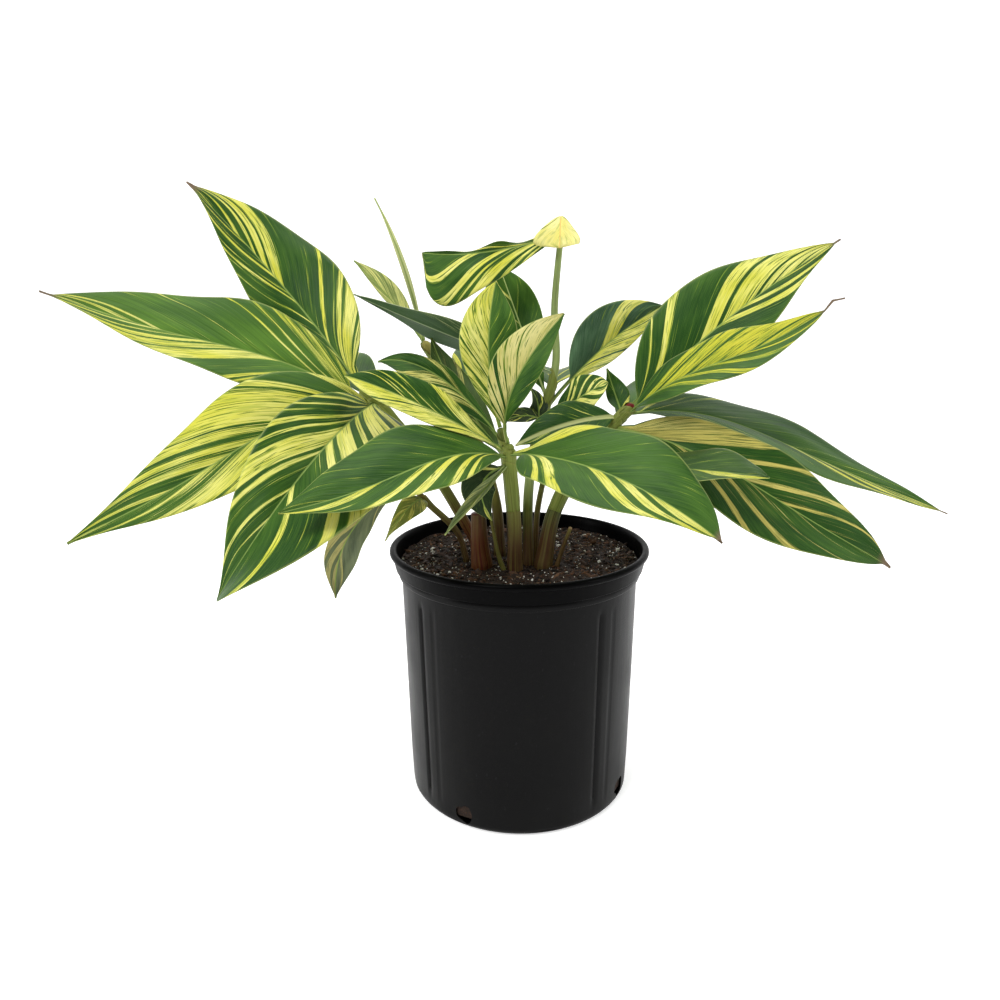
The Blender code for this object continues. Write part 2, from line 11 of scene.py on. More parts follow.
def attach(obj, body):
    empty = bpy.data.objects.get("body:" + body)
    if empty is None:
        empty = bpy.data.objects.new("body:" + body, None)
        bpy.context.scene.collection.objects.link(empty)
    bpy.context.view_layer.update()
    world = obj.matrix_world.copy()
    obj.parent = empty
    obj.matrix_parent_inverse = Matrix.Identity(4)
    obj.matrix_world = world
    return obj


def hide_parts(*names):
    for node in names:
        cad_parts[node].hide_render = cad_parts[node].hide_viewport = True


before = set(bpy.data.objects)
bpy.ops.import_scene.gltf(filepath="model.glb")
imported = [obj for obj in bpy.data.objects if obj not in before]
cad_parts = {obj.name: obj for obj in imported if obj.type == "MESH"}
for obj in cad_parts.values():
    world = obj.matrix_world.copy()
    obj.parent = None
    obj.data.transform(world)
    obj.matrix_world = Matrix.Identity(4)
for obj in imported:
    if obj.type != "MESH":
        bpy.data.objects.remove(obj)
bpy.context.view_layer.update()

onBody = "root"


def held(value):
    return min(1.0, max(0.0, value))


# One socket of a node tree. Expressions on wires add Math nodes, or Vector Math nodes for vectors.
class Wire:
    def __init__(self, maker, socket):
        self.maker, self.socket = maker, socket
        self.isVector = socket.type in ("VECTOR", "RGBA", "ROTATION")

    def held(self):
        return self.most(0.0).least(1.0)

    def dot(self, other):
        return self.maker.node("ShaderNodeVectorMath", {0: self, 1: other}, "Value",
                               operation="DOT_PRODUCT")

    # The same node's other output
    def also(self, output):
        return Wire(self.maker, self.socket.node.outputs[output])

    def parts(self):
        split = self.maker.node("ShaderNodeSeparateXYZ", {0: self})
        return split, split.also("Y"), split.also("Z")

    # 0 below low, 1 above high, smooth between
    def step(self, low, high):
        return self.maker.node("ShaderNodeMapRange", {0: self, 1: low, 2: high},
                               interpolation_type="SMOOTHSTEP")


# Operators and methods that add one node each, then the reflected operators
for method, operation in {
        "__add__": "ADD", "__sub__": "SUBTRACT", "__mul__": "MULTIPLY", "__truediv__": "DIVIDE",
        "__pow__": "POWER", "__abs__": "ABSOLUTE", "__gt__": "GREATER_THAN", "least": "MINIMUM",
        "most": "MAXIMUM", "sin": "SINE", "cos": "COSINE", "sign": "SIGN", "exp": "EXPONENT",
        "cross": "CROSS_PRODUCT", "unit": "NORMALIZE"}.items():
    setattr(Wire, method, lambda self, *others, kind=operation: self.maker.sum(kind, self, *others))
for method, operation in {"__radd__": "ADD", "__rsub__": "SUBTRACT", "__rmul__": "MULTIPLY"}.items():
    setattr(Wire, method, lambda self, other, kind=operation: self.maker.sum(kind, other, self))


# Makes the nodes of one tree: first the settings, then the values or links of the sockets
class Maker:
    def __init__(self, tree):
        self.tree = tree

    def node(self, kind, values=None, output=0, **settings):
        made = self.tree.nodes.new(kind)
        for name, value in settings.items():
            if name == "stops":
                self.setStops(made.color_ramp.elements, value)
            else:
                setattr(made, name, value)
        for key, value in (values or {}).items():
            if isinstance(value, (Wire, list)):
                for wire in value if isinstance(value, list) else [value]:
                    self.tree.links.new(wire.socket, made.inputs[key])
            else:
                made.inputs[key].default_value = value
        return Wire(self, made.outputs[output])

    def setStops(self, elements, stops):
        while len(elements) < len(stops):
            elements.new(1.0)
        for element, (place, tone) in zip(elements, stops):
            element.position = place
            element.color = (*tone, 1.0) if isinstance(tone, tuple) else (tone, tone, tone, 1.0)

    def sum(self, operation, *values):
        vectors = [v for v in values if isinstance(v, tuple) or (isinstance(v, Wire) and v.isVector)]
        if not vectors:
            return self.node("ShaderNodeMath", dict(enumerate(values)), operation=operation)
        if operation == "MULTIPLY" and len(vectors) == 1:
            scale = values[1] if values[0] is vectors[0] else values[0]
            return self.node("ShaderNodeVectorMath", {"Vector": vectors[0], "Scale": scale},
                             operation="SCALE")
        return self.node("ShaderNodeVectorMath", dict(enumerate(values)), operation=operation)

    def join(self, x, y, z):
        return self.node("ShaderNodeCombineXYZ", {0: x, 1: y, 2: z})

    def mixed(self, factor, *tones):
        first, second = ((*tone, 1.0) if isinstance(tone, tuple) else tone for tone in tones)
        return self.node("ShaderNodeMix", {0: factor, 6: first, 7: second}, 2, data_type="RGBA")

    def noise(self, vector, scale=1.0, detail=2.0, roughness=0.5):
        return self.node("ShaderNodeTexNoise", {"Vector": vector, "Scale": scale, "Detail": detail,
                                                "Roughness": roughness})


# Material. What is the same all over stands on the shader's own sockets.
class LookMaker(Maker):
    def __init__(self, name, fixed):
        self.look = bpy.data.materials.new(name)
        self.look.use_nodes = True
        super().__init__(self.look.node_tree)
        self.shader = self.tree.nodes["Principled BSDF"]
        for key, value in fixed.items():
            self.shader.inputs[key].default_value = value

    def spot(self):
        return self.node("ShaderNodeTexCoord", output="Object")

    def read(self, name, output="Fac"):
        return self.node("ShaderNodeAttribute", output=output, attribute_name=name)

    def finish(self, colour, rough, height, strength, distance):
        bump = self.node("ShaderNodeBump", {"Strength": strength, "Distance": distance,
                                            "Height": height})
        for key, wire in {"Base Color": colour, "Roughness": rough, "Normal": bump}.items():
            self.tree.links.new(wire.socket, self.shader.inputs[key])
        return self.look


# Geometry tree. Its inputs are named by kind, with the shape that comes in first and the look last.
class ShapeMaker(Maker):
    def __init__(self, name, **inputs):
        super().__init__(bpy.data.node_groups.new(name, "GeometryNodeTree"))
        sockets = self.tree.interface
        sockets.new_socket("shape", in_out="OUTPUT", socket_type="NodeSocketGeometry")
        for kind, names in {"Geometry": "shape", **inputs, "Material": "look"}.items():
            for key in names.split():
                sockets.new_socket(key, in_out="INPUT", socket_type="NodeSocket" + kind)
        self.given = self.tree.nodes.new("NodeGroupInput")

    def __getitem__(self, key):
        return Wire(self, self.given.outputs[key])

    # A unit grid, and the place of its points across and along it
    def grid(self):
        grid = self.node("GeometryNodeMeshGrid", {"Vertices X": self["columns"],
                                                  "Vertices Y": self["rows"]})
        x, y, _ = self.node("GeometryNodeInputPosition").parts()
        return grid, x, y + 0.5

    def keep(self, shape, name, value, kind="FLOAT", domain="POINT"):
        return self.node("GeometryNodeStoreNamedAttribute",
                         {"Geometry": shape, "Name": name, "Value": value},
                         data_type=kind, domain=domain)

    def kept(self, name, kind="FLOAT"):
        return self.node("GeometryNodeInputNamedAttribute", {"Name": name}, data_type=kind)

    def move(self, shape, how, vector):
        return self.node("GeometryNodeSetPosition", {"Geometry": shape, how: vector})

    def thicken(self, shape, thickness):
        return self.node("GeometryNodeExtrudeMesh",
                         {"Mesh": shape, "Offset Scale": thickness, "Individual": False}, mode="FACES")

    # One draw for each instance, between two numbers or two vectors
    def random(self, low, high, seed):
        if isinstance(low, tuple):
            return self.node("FunctionNodeRandomValue", {0: low, 1: high, "Seed": seed},
                             data_type="FLOAT_VECTOR")
        return self.node("FunctionNodeRandomValue", {2: low, 3: high, "Seed": seed}, 1,
                         data_type="FLOAT")

    def flip(self, shape):
        return self.node("GeometryNodeFlipFaces", {0: shape})

    def merge(self, shape, distance):
        return self.node("GeometryNodeMergeByDistance", {"Geometry": shape, "Distance": distance})

    # Two skins become one closed shell
    def close(self, first, second):
        both = self.node("GeometryNodeJoinGeometry", {0: [first, second]})
        return self.merge(both, 0.000005)

    def finish(self, shape):
        real = self.node("GeometryNodeRealizeInstances", {0: shape})
        smooth = self.node("GeometryNodeSetShadeSmooth", {"Geometry": real, "Shade Smooth": True})
        dressed = self.node("GeometryNodeSetMaterial", {"Geometry": smooth, "Material": self["look"]})
        last = self.tree.nodes.new("NodeGroupOutput")
        self.tree.links.new(dressed.socket, last.inputs[0])
        return self.tree


def placed(name, data):
    made = bpy.data.objects.new(name, data)
    bpy.context.scene.collection.objects.link(made)
    return made


# The plain mesh that an object's modifiers give
def solved(name, source):
    bpy.context.view_layer.update()
    scene = bpy.context.evaluated_depsgraph_get()
    mesh = bpy.data.meshes.new_from_object(source.evaluated_get(scene), depsgraph=scene,
                                           preserve_all_data_layers=True)
    mesh.name = name
    return placed(name, mesh)


# Runs a geometry tree on a carrier mesh and returns the plain mesh object that it makes
def grown(name, tree, values, start=None):
    carrier = placed(name + "Carrier", start or bpy.data.meshes.new(name + "Start"))
    step = carrier.modifiers.new("grow", "NODES")
    step.node_group = tree
    for item in tree.interface.items_tree:
        if item.in_out == "INPUT" and item.name in values:
            value = values[item.name]
            if item.socket_type == "NodeSocketFloat":
                value = float(value)
            if item.socket_type == "NodeSocketVector":
                value = tuple(float(v) for v in value)
            step[item.identifier] = value
    made = solved(name, carrier)
    bpy.data.objects.remove(carrier, do_unlink=True)
    return made


# Ties a piece to its body and hides the solids that it replaces
def settle(piece, slotName, *nodes):
    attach(piece, onBody)
    if nodes:
        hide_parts(*nodes)


# How every blade is built: veins leave the midrib and sweep forward to the margin
bladeRule = {
    "sweep": 0.34, "sweepPower": 0.85, "crowding": 1.35, "stalkWidth": 0.0017, "tipWidth": 0.0007,
    "blade": 0.00060, "margin": 0.00040, "rib": 0.0014, "ribWidth": 0.0014, "curl": -14,
    "ripple": 0.05, "waves": 2.5, "billow": 0.10, "relief": 0.03, "mostRelief": 0.0016,
    "groove": 0.0006, "rowsPerMetre": 330, "leastRows": 26, "columns": 33, "smallColumns": 21,
    "smallLength": 0.12, "bandEdge": 0.007, "rampStart": -0.4, "rampSpan": 1.4, "rampBands": 7,
}
# What a leaf has where its plan below is silent. Pairs are left and right, but roll is base and tip.
leafUsual = {
    "roll": (0, 0), "fold": (12, 12), "sides": (1, 1), "heel": (0, 0), "widest": 0.42, "taper": 1,
    "petiole": 0.04, "bow": 0, "point": 1, "kink": 0, "sweep": bladeRule["sweep"], "upright": False,
    "onTop": False, "sleeve": 0.045, "left": (), "right": (), "ground": (-0.10, -0.10), "busy": 1,
    # light is painted light: how far a blade's greens lean toward the lit tone
    "cream": 0.4, "light": 0.45, "edgeTone": 0.5, "nicks": 0.95, "ribWide": 1, "ribTone": 0.8,
    "tones": {},
}
# Colours of the foliage, linear; lit is a lighter copy of the green, used for painted light
leafTones = {
    "deep": (0.013, 0.052, 0.006), "mid": (0.042, 0.108, 0.013), "lit": (0.125, 0.260, 0.030),
    "lime": (0.190, 0.285, 0.025), "yellow": (0.590, 0.570, 0.055), "cream": (0.760, 0.735, 0.230),
    "rib": (0.230, 0.330, 0.075), "edge": (0.340, 0.400, 0.120), "dry": (0.190, 0.135, 0.085),
    "underGreen": (0.070, 0.118, 0.042), "underYellow": (0.440, 0.400, 0.140),
}


def bladeTree():
    rule = bladeRule
    m = ShapeMaker(
        "ginger blade", Int="rows columns", Vector="seat shoulder tip up",
        Float="halfWidth growth taper petiole bow point kink sweep rollBase rollTip heelLeft "
              "heelRight foldLeft foldRight sidesLeft sidesRight length seed")
    grid, x, t = m.grid()
    u = (x * 2.0).sign() * abs(x * 2.0) ** rule["crowding"]
    out = abs(u)
    onRight = u > 0.0
    swept = m["sweep"] * (1.0 - out ** rule["sweepPower"])
    vein = (t + swept) * (1.0 + rule["sweep"]) / (m["sweep"] + 1.0) - rule["sweep"]

    def sided(key):
        return m[key + "Left"] + (m[key + "Right"] - m[key + "Left"]) * onRight

    # Midrib: a curve from the seat through the shoulder to the tip, and the frame that rides on it
    seat, shoulder, tip = m["seat"], m["shoulder"], m["tip"]
    left = 1.0 - t
    swing = t * (2 * math.pi)
    rib = seat * (left * left) + shoulder * (t * left * 2.0) + tip * (t * t)
    bend = t.step(m["point"] - 0.01, m["point"] + 0.035) * (left / (0.97 - m["point"])).held()
    rib = rib + m.join(0.0, 0.0, m["bow"] * swing.sin() + m["kink"] * bend)
    along = ((shoulder - seat) * left + (tip - shoulder) * t) * 2.0
    along = (along + m.join(0.0, 0.0, m["bow"] * swing.cos() * (2 * math.pi))).unit()
    flat = along.cross(m["up"]).unit()
    lift = flat.cross(along)
    roll = (m["rollBase"] + (m["rollTip"] - m["rollBase"]) * t) * (math.pi / 180)
    side = flat * roll.cos() + lift * roll.sin()
    rise = lift * roll.cos() - flat * roll.sin()

    # Width along the blade, down to a thread in the dry point
    share = ((t - m["petiole"]) / (m["point"] - m["petiole"])).held() ** m["growth"]
    shape = (share * math.pi).sin().held() ** m["taper"]
    heel = sided("heel") * (t * math.pi).sin().held() ** 0.6 * (1.0 - shape)
    width = (m["halfWidth"] * (shape + heel)).most(left * rule["stalkWidth"] + t * rule["tipWidth"])
    width = width.most(bend * m["kink"] * 0.40)

    # Each half folds up from the midrib and bends along an arc
    curl = math.radians(rule["curl"])
    reach = sided("sides") * width * out
    first = sided("fold") * (math.pi / 180) - curl * 0.5
    turned = curl * out.most(0.001)
    run = reach * ((first + turned).sin() - first.sin()) / turned
    climb = reach * (first.cos() - (first + turned).cos()) / turned

    # Ripple of the margin, billow of the whole blade, low relief between veins, groove on the rib
    ripple = width * rule["ripple"] * out * out * (t * (2 * math.pi * rule["waves"]) + u * 1.3).sin()
    billow = m.noise(m.join(t * 3.2, u * 1.1, m["seed"]), 1.0, 1.0) - 0.5
    relief = m.noise(m.join(vein * m["length"] * 95.0, u * 1.2, m["seed"] + 7.0)) - 0.5
    depth = (m["halfWidth"] * rule["relief"]).least(rule["mostRelief"])
    swell = billow * m["halfWidth"] * rule["billow"]
    climb = climb + ripple + swell * out.step(0.0, 0.5) * (t * 6.0).held()
    climb = climb + relief * depth * out.step(0.0, 0.25) * (1.2 - out)
    groove = ((reach / rule["ribWidth"]) ** 2.0 * -1.0).exp() * (left * rule["groove"])
    place = rib + side * (run * u.sign()) + rise * (climb - groove)
    shape = m.keep(grid, "leafMap", m.join(vein, u, t), "FLOAT_VECTOR")
    shape = m.move(m.keep(shape, "leafSpan", reach), "Position", place)

    # The under side: thickest along the midrib, thinnest at the margin
    _, across, down = m.kept("leafMap", "FLOAT_VECTOR").parts()
    ridge = ((m.kept("leafSpan") / rule["ribWidth"]) ** 2.0 * -1.0).exp() * rule["rib"]
    thin = abs(across) ** 6.0 * (rule["blade"] - rule["margin"])
    under = m.thicken(shape, (ridge * (1.0 - down * 0.75) + rule["blade"] - thin) * -1.0)
    lower = m.keep(under, "leafUnder", under.also("Top"), "FLOAT", "FACE")
    return m.finish(m.close(shape, m.flip(lower)))


def growBlade(tree, name, plan, seat, number):
    rule = bladeRule
    t = np.linspace(0, 1, 33)[:, None]
    shoulder, tip = np.array(plan["shoulder"]), np.array(plan["tip"])
    midrib = (1 - t) ** 2 * seat + 2 * t * (1 - t) * shoulder + t ** 2 * tip
    length = float(np.linalg.norm(np.diff(midrib, axis=0), axis=1).sum())
    values = {
        **plan, "rows": max(rule["leastRows"], int(length * rule["rowsPerMetre"])),
        "columns": rule["columns"] if length > rule["smallLength"] else rule["smallColumns"],
        "seat": seat, "up": (0, -1, 0) if plan["upright"] else (0, 0, 1), "length": length,
        "growth": math.log(0.5) / math.log(plan["widest"]), "seed": number * 3.7,
        "look": bladeLook(name, plan, length, number)}
    ends = {"roll": ("Base", "Tip"), "heel": ("Left", "Right"), "fold": ("Left", "Right"),
            "sides": ("Left", "Right")}
    for key, names in ends.items():
        values.update({key + end: value for end, value in zip(names, plan[key])})
    settle(grown("blade_" + name, tree, values), "leaf_blade", "leaf_" + name)


# How yellow the blade is along its veins, from bands of (first, last, yellowness) on its ground.
# One ramp holds only a few bands, so a blade with more of them has several ramps.
def bandMask(m, vein, bands, ground):
    soft, start, span = (bladeRule[key] for key in ("bandEdge", "rampStart", "rampSpan"))
    bands, count = sorted(bands), bladeRule["rampBands"]
    mask = None
    for k in range(0, max(1, len(bands)), count):
        stops = [(0.0, ground)]
        for first, last, amount in bands[k:k + count]:
            for place, tone in ((first - soft, ground), (first + soft, amount),
                                (last - soft, amount), (last + soft, ground)):
                share = held((place - start) / span)
                stops.append((max(share, stops[-1][0]), tone))
        stops.append((1.0, ground if stops[-1][0] < 1.0 else stops[-1][1]))
        ramp = m.node("ShaderNodeValToRGB", {0: (vein - start) / span}, stops=stops)
        red = m.node("ShaderNodeSeparateColor", {0: ramp})
        if mask is None:
            mask = red
        else:
            mask = mask.most(red) if ground < 0.5 else mask.least(red)
    return mask


def bladeLook(name, plan, length, number):
    m = LookMaker("blade " + name.replace("_", " "), {"Specular IOR Level": 0.13})
    vein, u, t = m.read("leafMap", "Vector").parts()
    under = m.read("leafUnder")
    tones = {**leafTones, **plan["tones"]}
    out = abs(u)
    onRight = u > 0.0
    seed = number * 1.37
    drawn = vein * length

    # Streaks run with the veins: long along the vein, thin across it
    def streaks(across, along, shift, detail=1.0):
        spot = m.join(drawn * across, out * along + t * 0.5, onRight * 11.0 + (seed + shift))
        return m.noise(spot, 1.0, detail, 0.55)

    coarse = streaks(140.0, 0.9, 0.0, 2.0)
    fine = streaks(400.0, 1.1, 5.0, 2.0)
    hair = streaks(950.0, 1.8, 9.0)
    dash = streaks(560.0, 3.2, 33.0)
    wobble = (streaks(60.0, 1.0, 3.0) - 0.5) * 0.020 + (dash - 0.5) * 0.010
    leftMask, rightMask = (bandMask(m, vein + wobble, plan[key], ground)
                           for key, ground in zip(("left", "right"), plan["ground"]))
    # Fine and hair-thin streaks break up every band
    split = (fine - 0.5) * 1.7 + (hair - 0.5) * 1.0 + (coarse - 0.5) * 0.7
    level = leftMask + (rightMask - leftMask) * onRight + split * plan["busy"]
    lime = level.step(0.30, 0.45)
    pale = level.step(0.47, 0.56)

    # Greens with long faint stripes, yellows that fade to cream
    blotch = m.noise(m.join(t * 3.0, u * 1.4, seed))
    # Painted light: the blade's light value lifts all its greens toward the lit tone; blades in shade
    # get little of it
    grain = (coarse - 0.5) * 0.8 + (fine - 0.5) * 0.4 + (blotch - 0.5) * 1.5 + plan["light"]
    green = m.mixed(grain.step(-0.05, 0.62), tones["deep"], tones["mid"])
    thread = (1.0 - abs(hair - 0.52) * 16.0).held()
    green = m.mixed((grain - 0.62).held() * 1.1 + thread * 0.20, green, tones["lit"])
    creamy = ((blotch - 0.5) * 2.6 + (fine - 0.5) * 1.6 + plan["cream"]).held()
    yellow = m.mixed(creamy, tones["yellow"], tones["cream"])
    mottle = streaks(230.0, 2.4, 51.0, 2.0).step(0.54, 0.64) * 0.45
    yellow = m.mixed((thread * 0.30).most(mottle), yellow, tones["lime"])
    nick = dash.step(0.60, 0.65) * plan["nicks"]
    yellow = m.mixed(nick, yellow, m.mixed(0.75, tones["lime"], tones["mid"]))
    colour = m.mixed(pale, m.mixed(lime * 0.85, green, tones["lime"]), yellow)
    ribEdge = 0.0013 * plan["ribWide"] - t * 0.0008
    rib = 1.0 - (m.read("leafSpan") / ribEdge).step(0.45, 1.15)
    colour = m.mixed(rib * plan["ribTone"], colour, tones["rib"])
    colour = m.mixed(out.step(0.965, 0.990) * plan["edgeTone"], colour, tones["edge"])
    colour = m.mixed((1.0 - t.step(0.010, 0.07)) * 0.6, colour, tones["rib"])

    # The under side keeps the stripes, greyed and paler
    back = m.mixed(pale, m.mixed(0.45, green, tones["underGreen"]), tones["underYellow"])
    colour = m.mixed(under * 0.85, colour, m.mixed(rib, back, tones["rib"]))
    if plan["point"] < 1:
        colour = m.mixed(t.step(plan["point"] - 0.03, plan["point"] + 0.01), colour, tones["dry"])

    rough = 0.47 + (coarse - 0.5) * 0.18 + (blotch - 0.5) * 0.14 + under * 0.14 + pale * 0.06
    ridges = streaks(330.0, 0.5, 21.0)
    height = ridges * 0.6 + fine * 0.25 + hair * 0.15 + pale * 0.10
    return m.finish(colour, rough, height, 0.55, 0.0010)


# Canes: points from just above the soil up, the radius at the foot and at the top, the tones at
# the foot, the middle and the top, and the tone of a cut or budding end
canePlans = {
    "front": dict(
        points=[(-.005, -.050, .242), (-.005, -.048, .285), (-.009, -.049, .335), (-.011, -.054, .360)],
        radius=(.0068, .0050), tones=("brown", "olive", "lush")),
    "inner": dict(
        points=[(-.006, -.029, .242), (-.009, -.026, .305), (-.014, -.030, .352), (-.018, -.036, .372)],
        radius=(.0050, .0038), tones=("brown", "olive", "green")),
    "sprout": dict(
        points=[(-.0155, -.054, .242), (-.0205, -.050, .256), (-.0270, -.042, .287)],
        radius=(.0021, .0014), tones=("olive", "olive", "green")),
    "tall": dict(
        points=[(.008, -.033, .242), (.009, -.010, .304), (.018, .028, .350), (.038, .050, .420),
                (.037, .056, .480), (.043, .060, .550)],
        radius=(.0052, .0030), tones=("brown", "green", "pale"), end="yellow"),
    "slim": dict(
        points=[(.0155, -.019, .242), (.018, -.002, .283), (.028, .014, .330), (.034, .022, .372)],
        radius=(.0030, .0025), tones=("brown", "olive", "green")),
    "right": dict(
        points=[(.022, -.040, .242), (.034, -.024, .292), (.066, -.010, .345), (.108, -.010, .390)],
        # Its middle and top wear the shade tone: painted shade
        radius=(.0080, .0046), tones=("brown", "shade", "shade"), end="red"),
    "cut": dict(
        points=[(.035, -.043, .242), (.040, -.039, .257), (.048, -.037, .278)],
        radius=(.0020, .0018), tones=("brown", "straw", "straw"), end="paper"),
    "stump": dict(
        points=[(-.036, -.038, .242), (-.038, -.034, .260), (-.039, -.032, .292)],
        radius=(.0092, .0070), tones=("red", "brown", "olive"), end="brown"),
    "left": dict(
        points=[(-.036, -.011, .242), (-.051, .004, .267), (-.082, .014, .318), (-.122, .008, .375),
                (-.152, .004, .404)],
        radius=(.0056, .0044), tones=("red", "olive", "lush")),
    "low": dict(
        points=[(-.0515, -.022, .242), (-.061, -.010, .267), (-.088, -.010, .295),
                (-.108, -.018, .322)],
        radius=(.0028, .0022), tones=("brown", "olive", "green")),
    "back": dict(
        points=[(-.019, .000, .242), (-.024, .022, .294), (-.050, .046, .370), (-.094, .050, .448)],
        radius=(.0056, .0042), tones=("brown", "olive", "straw")),
}
caneRule = {"soilDepth": 0.020, "rows": 90, "columns": 25, "pathSteps": 8, "swell": 0.14,
            "darkBelow": 0.240, "paleOver": 0.080}
# Cane colours, linear. shade is a darker green for the part of a cane in shadow: painted shade
caneTones = {
    "olive": (0.098, 0.092, 0.018), "straw": (0.260, 0.235, 0.060), "green": (0.060, 0.100, 0.016),
    "brown": (0.075, 0.028, 0.015), "red": (0.130, 0.012, 0.010), "paper": (0.330, 0.220, 0.100),
    "shade": (0.030, 0.050, 0.012), "lush": (0.130, 0.185, 0.030), "pale": (0.250, 0.350, 0.125),
    "yellow": (0.620, 0.540, 0.110),
}
# A sheath ends this far above its leaf; the opening is its gap in radians
sheathRule = {
    "above": 0.004, "opening": 1.2, "lift": 0.0004, "flare": 0.0007, "slant": 0.05,
    "thickness": 0.00035, "rows": 22, "columns": 23,
}


# A smooth line through the points
def smoothPath(points, steps):
    p = np.array(points, float)
    p = np.vstack([2 * p[0] - p[1], p, 2 * p[-1] - p[-2]])
    rows = []
    for k in range(1, len(p) - 2):
        a, b, c, d = p[k - 1:k + 3]
        for t in np.arange(steps) / steps:
            rows.append(0.5 * (2 * b + (c - a) * t + (2 * a - 5 * b + 4 * c - d) * t ** 2
                               + (3 * b - a - 3 * c + d) * t ** 3))
    return np.array(rows + [p[-2]])


class Cane:
    def __init__(self, name, points, radius, tones, end=None):
        self.name, self.radius, self.tones, self.end = name, radius, tones, end
        above = smoothPath(points, caneRule["pathSteps"])
        below = [above[0] - (0, 0, caneRule["soilDepth"] * share) for share in (1, 0.5)]
        self.path = np.vstack([below, above])
        self.foot, self.top = above[0][2], above[-1][2]
        runs = np.linalg.norm(np.diff(self.path, axis=0), axis=1)
        self.shares = np.concatenate([[0], np.cumsum(runs)]) / runs.sum()

        # A temporary curve object that the trees sample
        data = bpy.data.curves.new(name + "Path", "CURVE")
        data.dimensions = "3D"
        spline = data.splines.new("POLY")
        spline.points.add(len(self.path) - 1)
        for point, place in zip(spline.points, self.path):
            point.co = (*place, 1.0)
        self.curve = placed(name + "Path", data)

    def at(self, height):
        place = np.array([np.interp(height, self.path[:, 2], self.path[:, k]) for k in range(3)])
        return place, float(np.interp(height, self.path[:, 2], self.shares))

    # Runs a tree round this cane
    def grow(self, name, tree, seed, **values):
        return grown(name, tree, {
            "path": self.curve, "foot": self.foot, "top": self.top, "footRadius": self.radius[0],
            "topRadius": self.radius[1], "seed": seed, **values})

    # Where a leaf leaves the cane, and the direction in which it does
    def seat(self, plan):
        if plan["onTop"]:
            return self.path[-1], None
        height = plan["height"]
        centre = self.at(height)[0]
        axis = self.at(height + 0.004)[0] - self.at(height - 0.004)[0]
        axis /= np.linalg.norm(axis)
        toward = np.array(plan["shoulder"], float) - centre
        toward -= (toward @ axis) * axis
        toward /= np.linalg.norm(toward)
        share = held((height - self.foot) / (self.top - self.foot))
        radius = self.radius[0] + (self.radius[1] - self.radius[0]) * share
        return centre + toward * radius * 0.75, toward


# A tree that starts from a cane's path
def roundCane(name, floats):
    return ShapeMaker(name, Object="path", Vector="facing", Int="rows columns",
                      Float="foot top footRadius topRadius seed " + floats)


# The point, two directions across the path, the cane's radius and the height, at a share of it
def pathFrame(m, share):
    source = m.node("GeometryNodeObjectInfo", {"Object": m["path"]}, "Geometry",
                    transform_space="ORIGINAL")
    sample = m.node("GeometryNodeSampleCurve", {"Curves": source, "Factor": share}, "Position",
                    mode="FACTOR", use_all_curves=True)
    tangent = sample.also("Tangent")
    front = (m["facing"] - tangent * m["facing"].dot(tangent)).unit()
    _, _, height = sample.parts()
    up = ((height - m["foot"]) / (m["top"] - m["foot"])).held()
    radius = m["footRadius"] + (m["topRadius"] - m["footRadius"]) * up
    return sample, front, tangent.cross(front), radius, height


# Bends the grid round the path, and keeps each point's own place for the look
def wrapRound(m, grid, mapped, turn, reach, place, front, side):
    spot = place + front * (reach * turn.cos()) + side * (reach * turn.sin())
    return m.move(m.keep(grid, "caneMap", mapped, "FLOAT_VECTOR"), "Position", spot)


# A round cane, closed at both ends, with fine ribs and a slightly swollen foot
def caneTree():
    m = roundCane("ginger cane", "swell")
    grid, x, share = m.grid()
    turn = x * (2 * math.pi)
    place, front, side, radius, height = pathFrame(m, share)
    foot = 1.0 - ((height - m["foot"]) / 0.030).held()
    swollen = radius * (1.0 + m["swell"] * foot * foot)
    ribs = m.noise(m.join(turn.cos() * 2.2, turn.sin() * 2.2, share * 2.0 + m["seed"])) - 0.5
    ends = share.step(0.0, 0.02) * (1.0 - share.step(0.985, 1.0))
    reach = (swollen + ribs * 0.0009) * ends
    shape = wrapRound(m, grid, m.join(x + 0.5, share, height), turn, reach, place, front, side)
    return m.finish(m.merge(shape, 0.00002))


# A leaf sheath: a thin open sleeve round the cane whose tall side carries the leaf
def sheathTree():
    m = roundCane("ginger sheath", "start end slant opening lift flare thickness")
    grid, x, up = m.grid()
    turn = x * (2 * math.pi - m["opening"])
    away = (1.0 - turn.cos()) * 0.5
    ragged = m.noise(m.join(x * 5.0, m["seed"], 0.0)) - 0.5
    last = m["end"] - m["slant"] * away + ragged * m["slant"] * 0.35
    share = m["start"] + (last - m["start"]) * up
    place, front, side, radius, height = pathFrame(m, share)
    folds = m.noise(m.join(x * 4.0, up * 1.2, m["seed"])) - 0.5
    lifted = m["lift"] * up.step(0.0, 0.3) + m["flare"] * up.step(0.72, 1.0) * (0.4 + away)
    reach = radius + lifted + folds * m["lift"] * 0.8
    inner = wrapRound(m, grid, m.join(x + 0.5, up, height), turn, reach, place, front, side)
    _, climbed, _ = m.kept("caneMap", "FLOAT_VECTOR").parts()
    outer = m.thicken(inner, m["thickness"] * (climbed.step(0.0, 0.4) * 0.9 + 0.1))
    return m.finish(m.close(outer, m.flip(inner)))


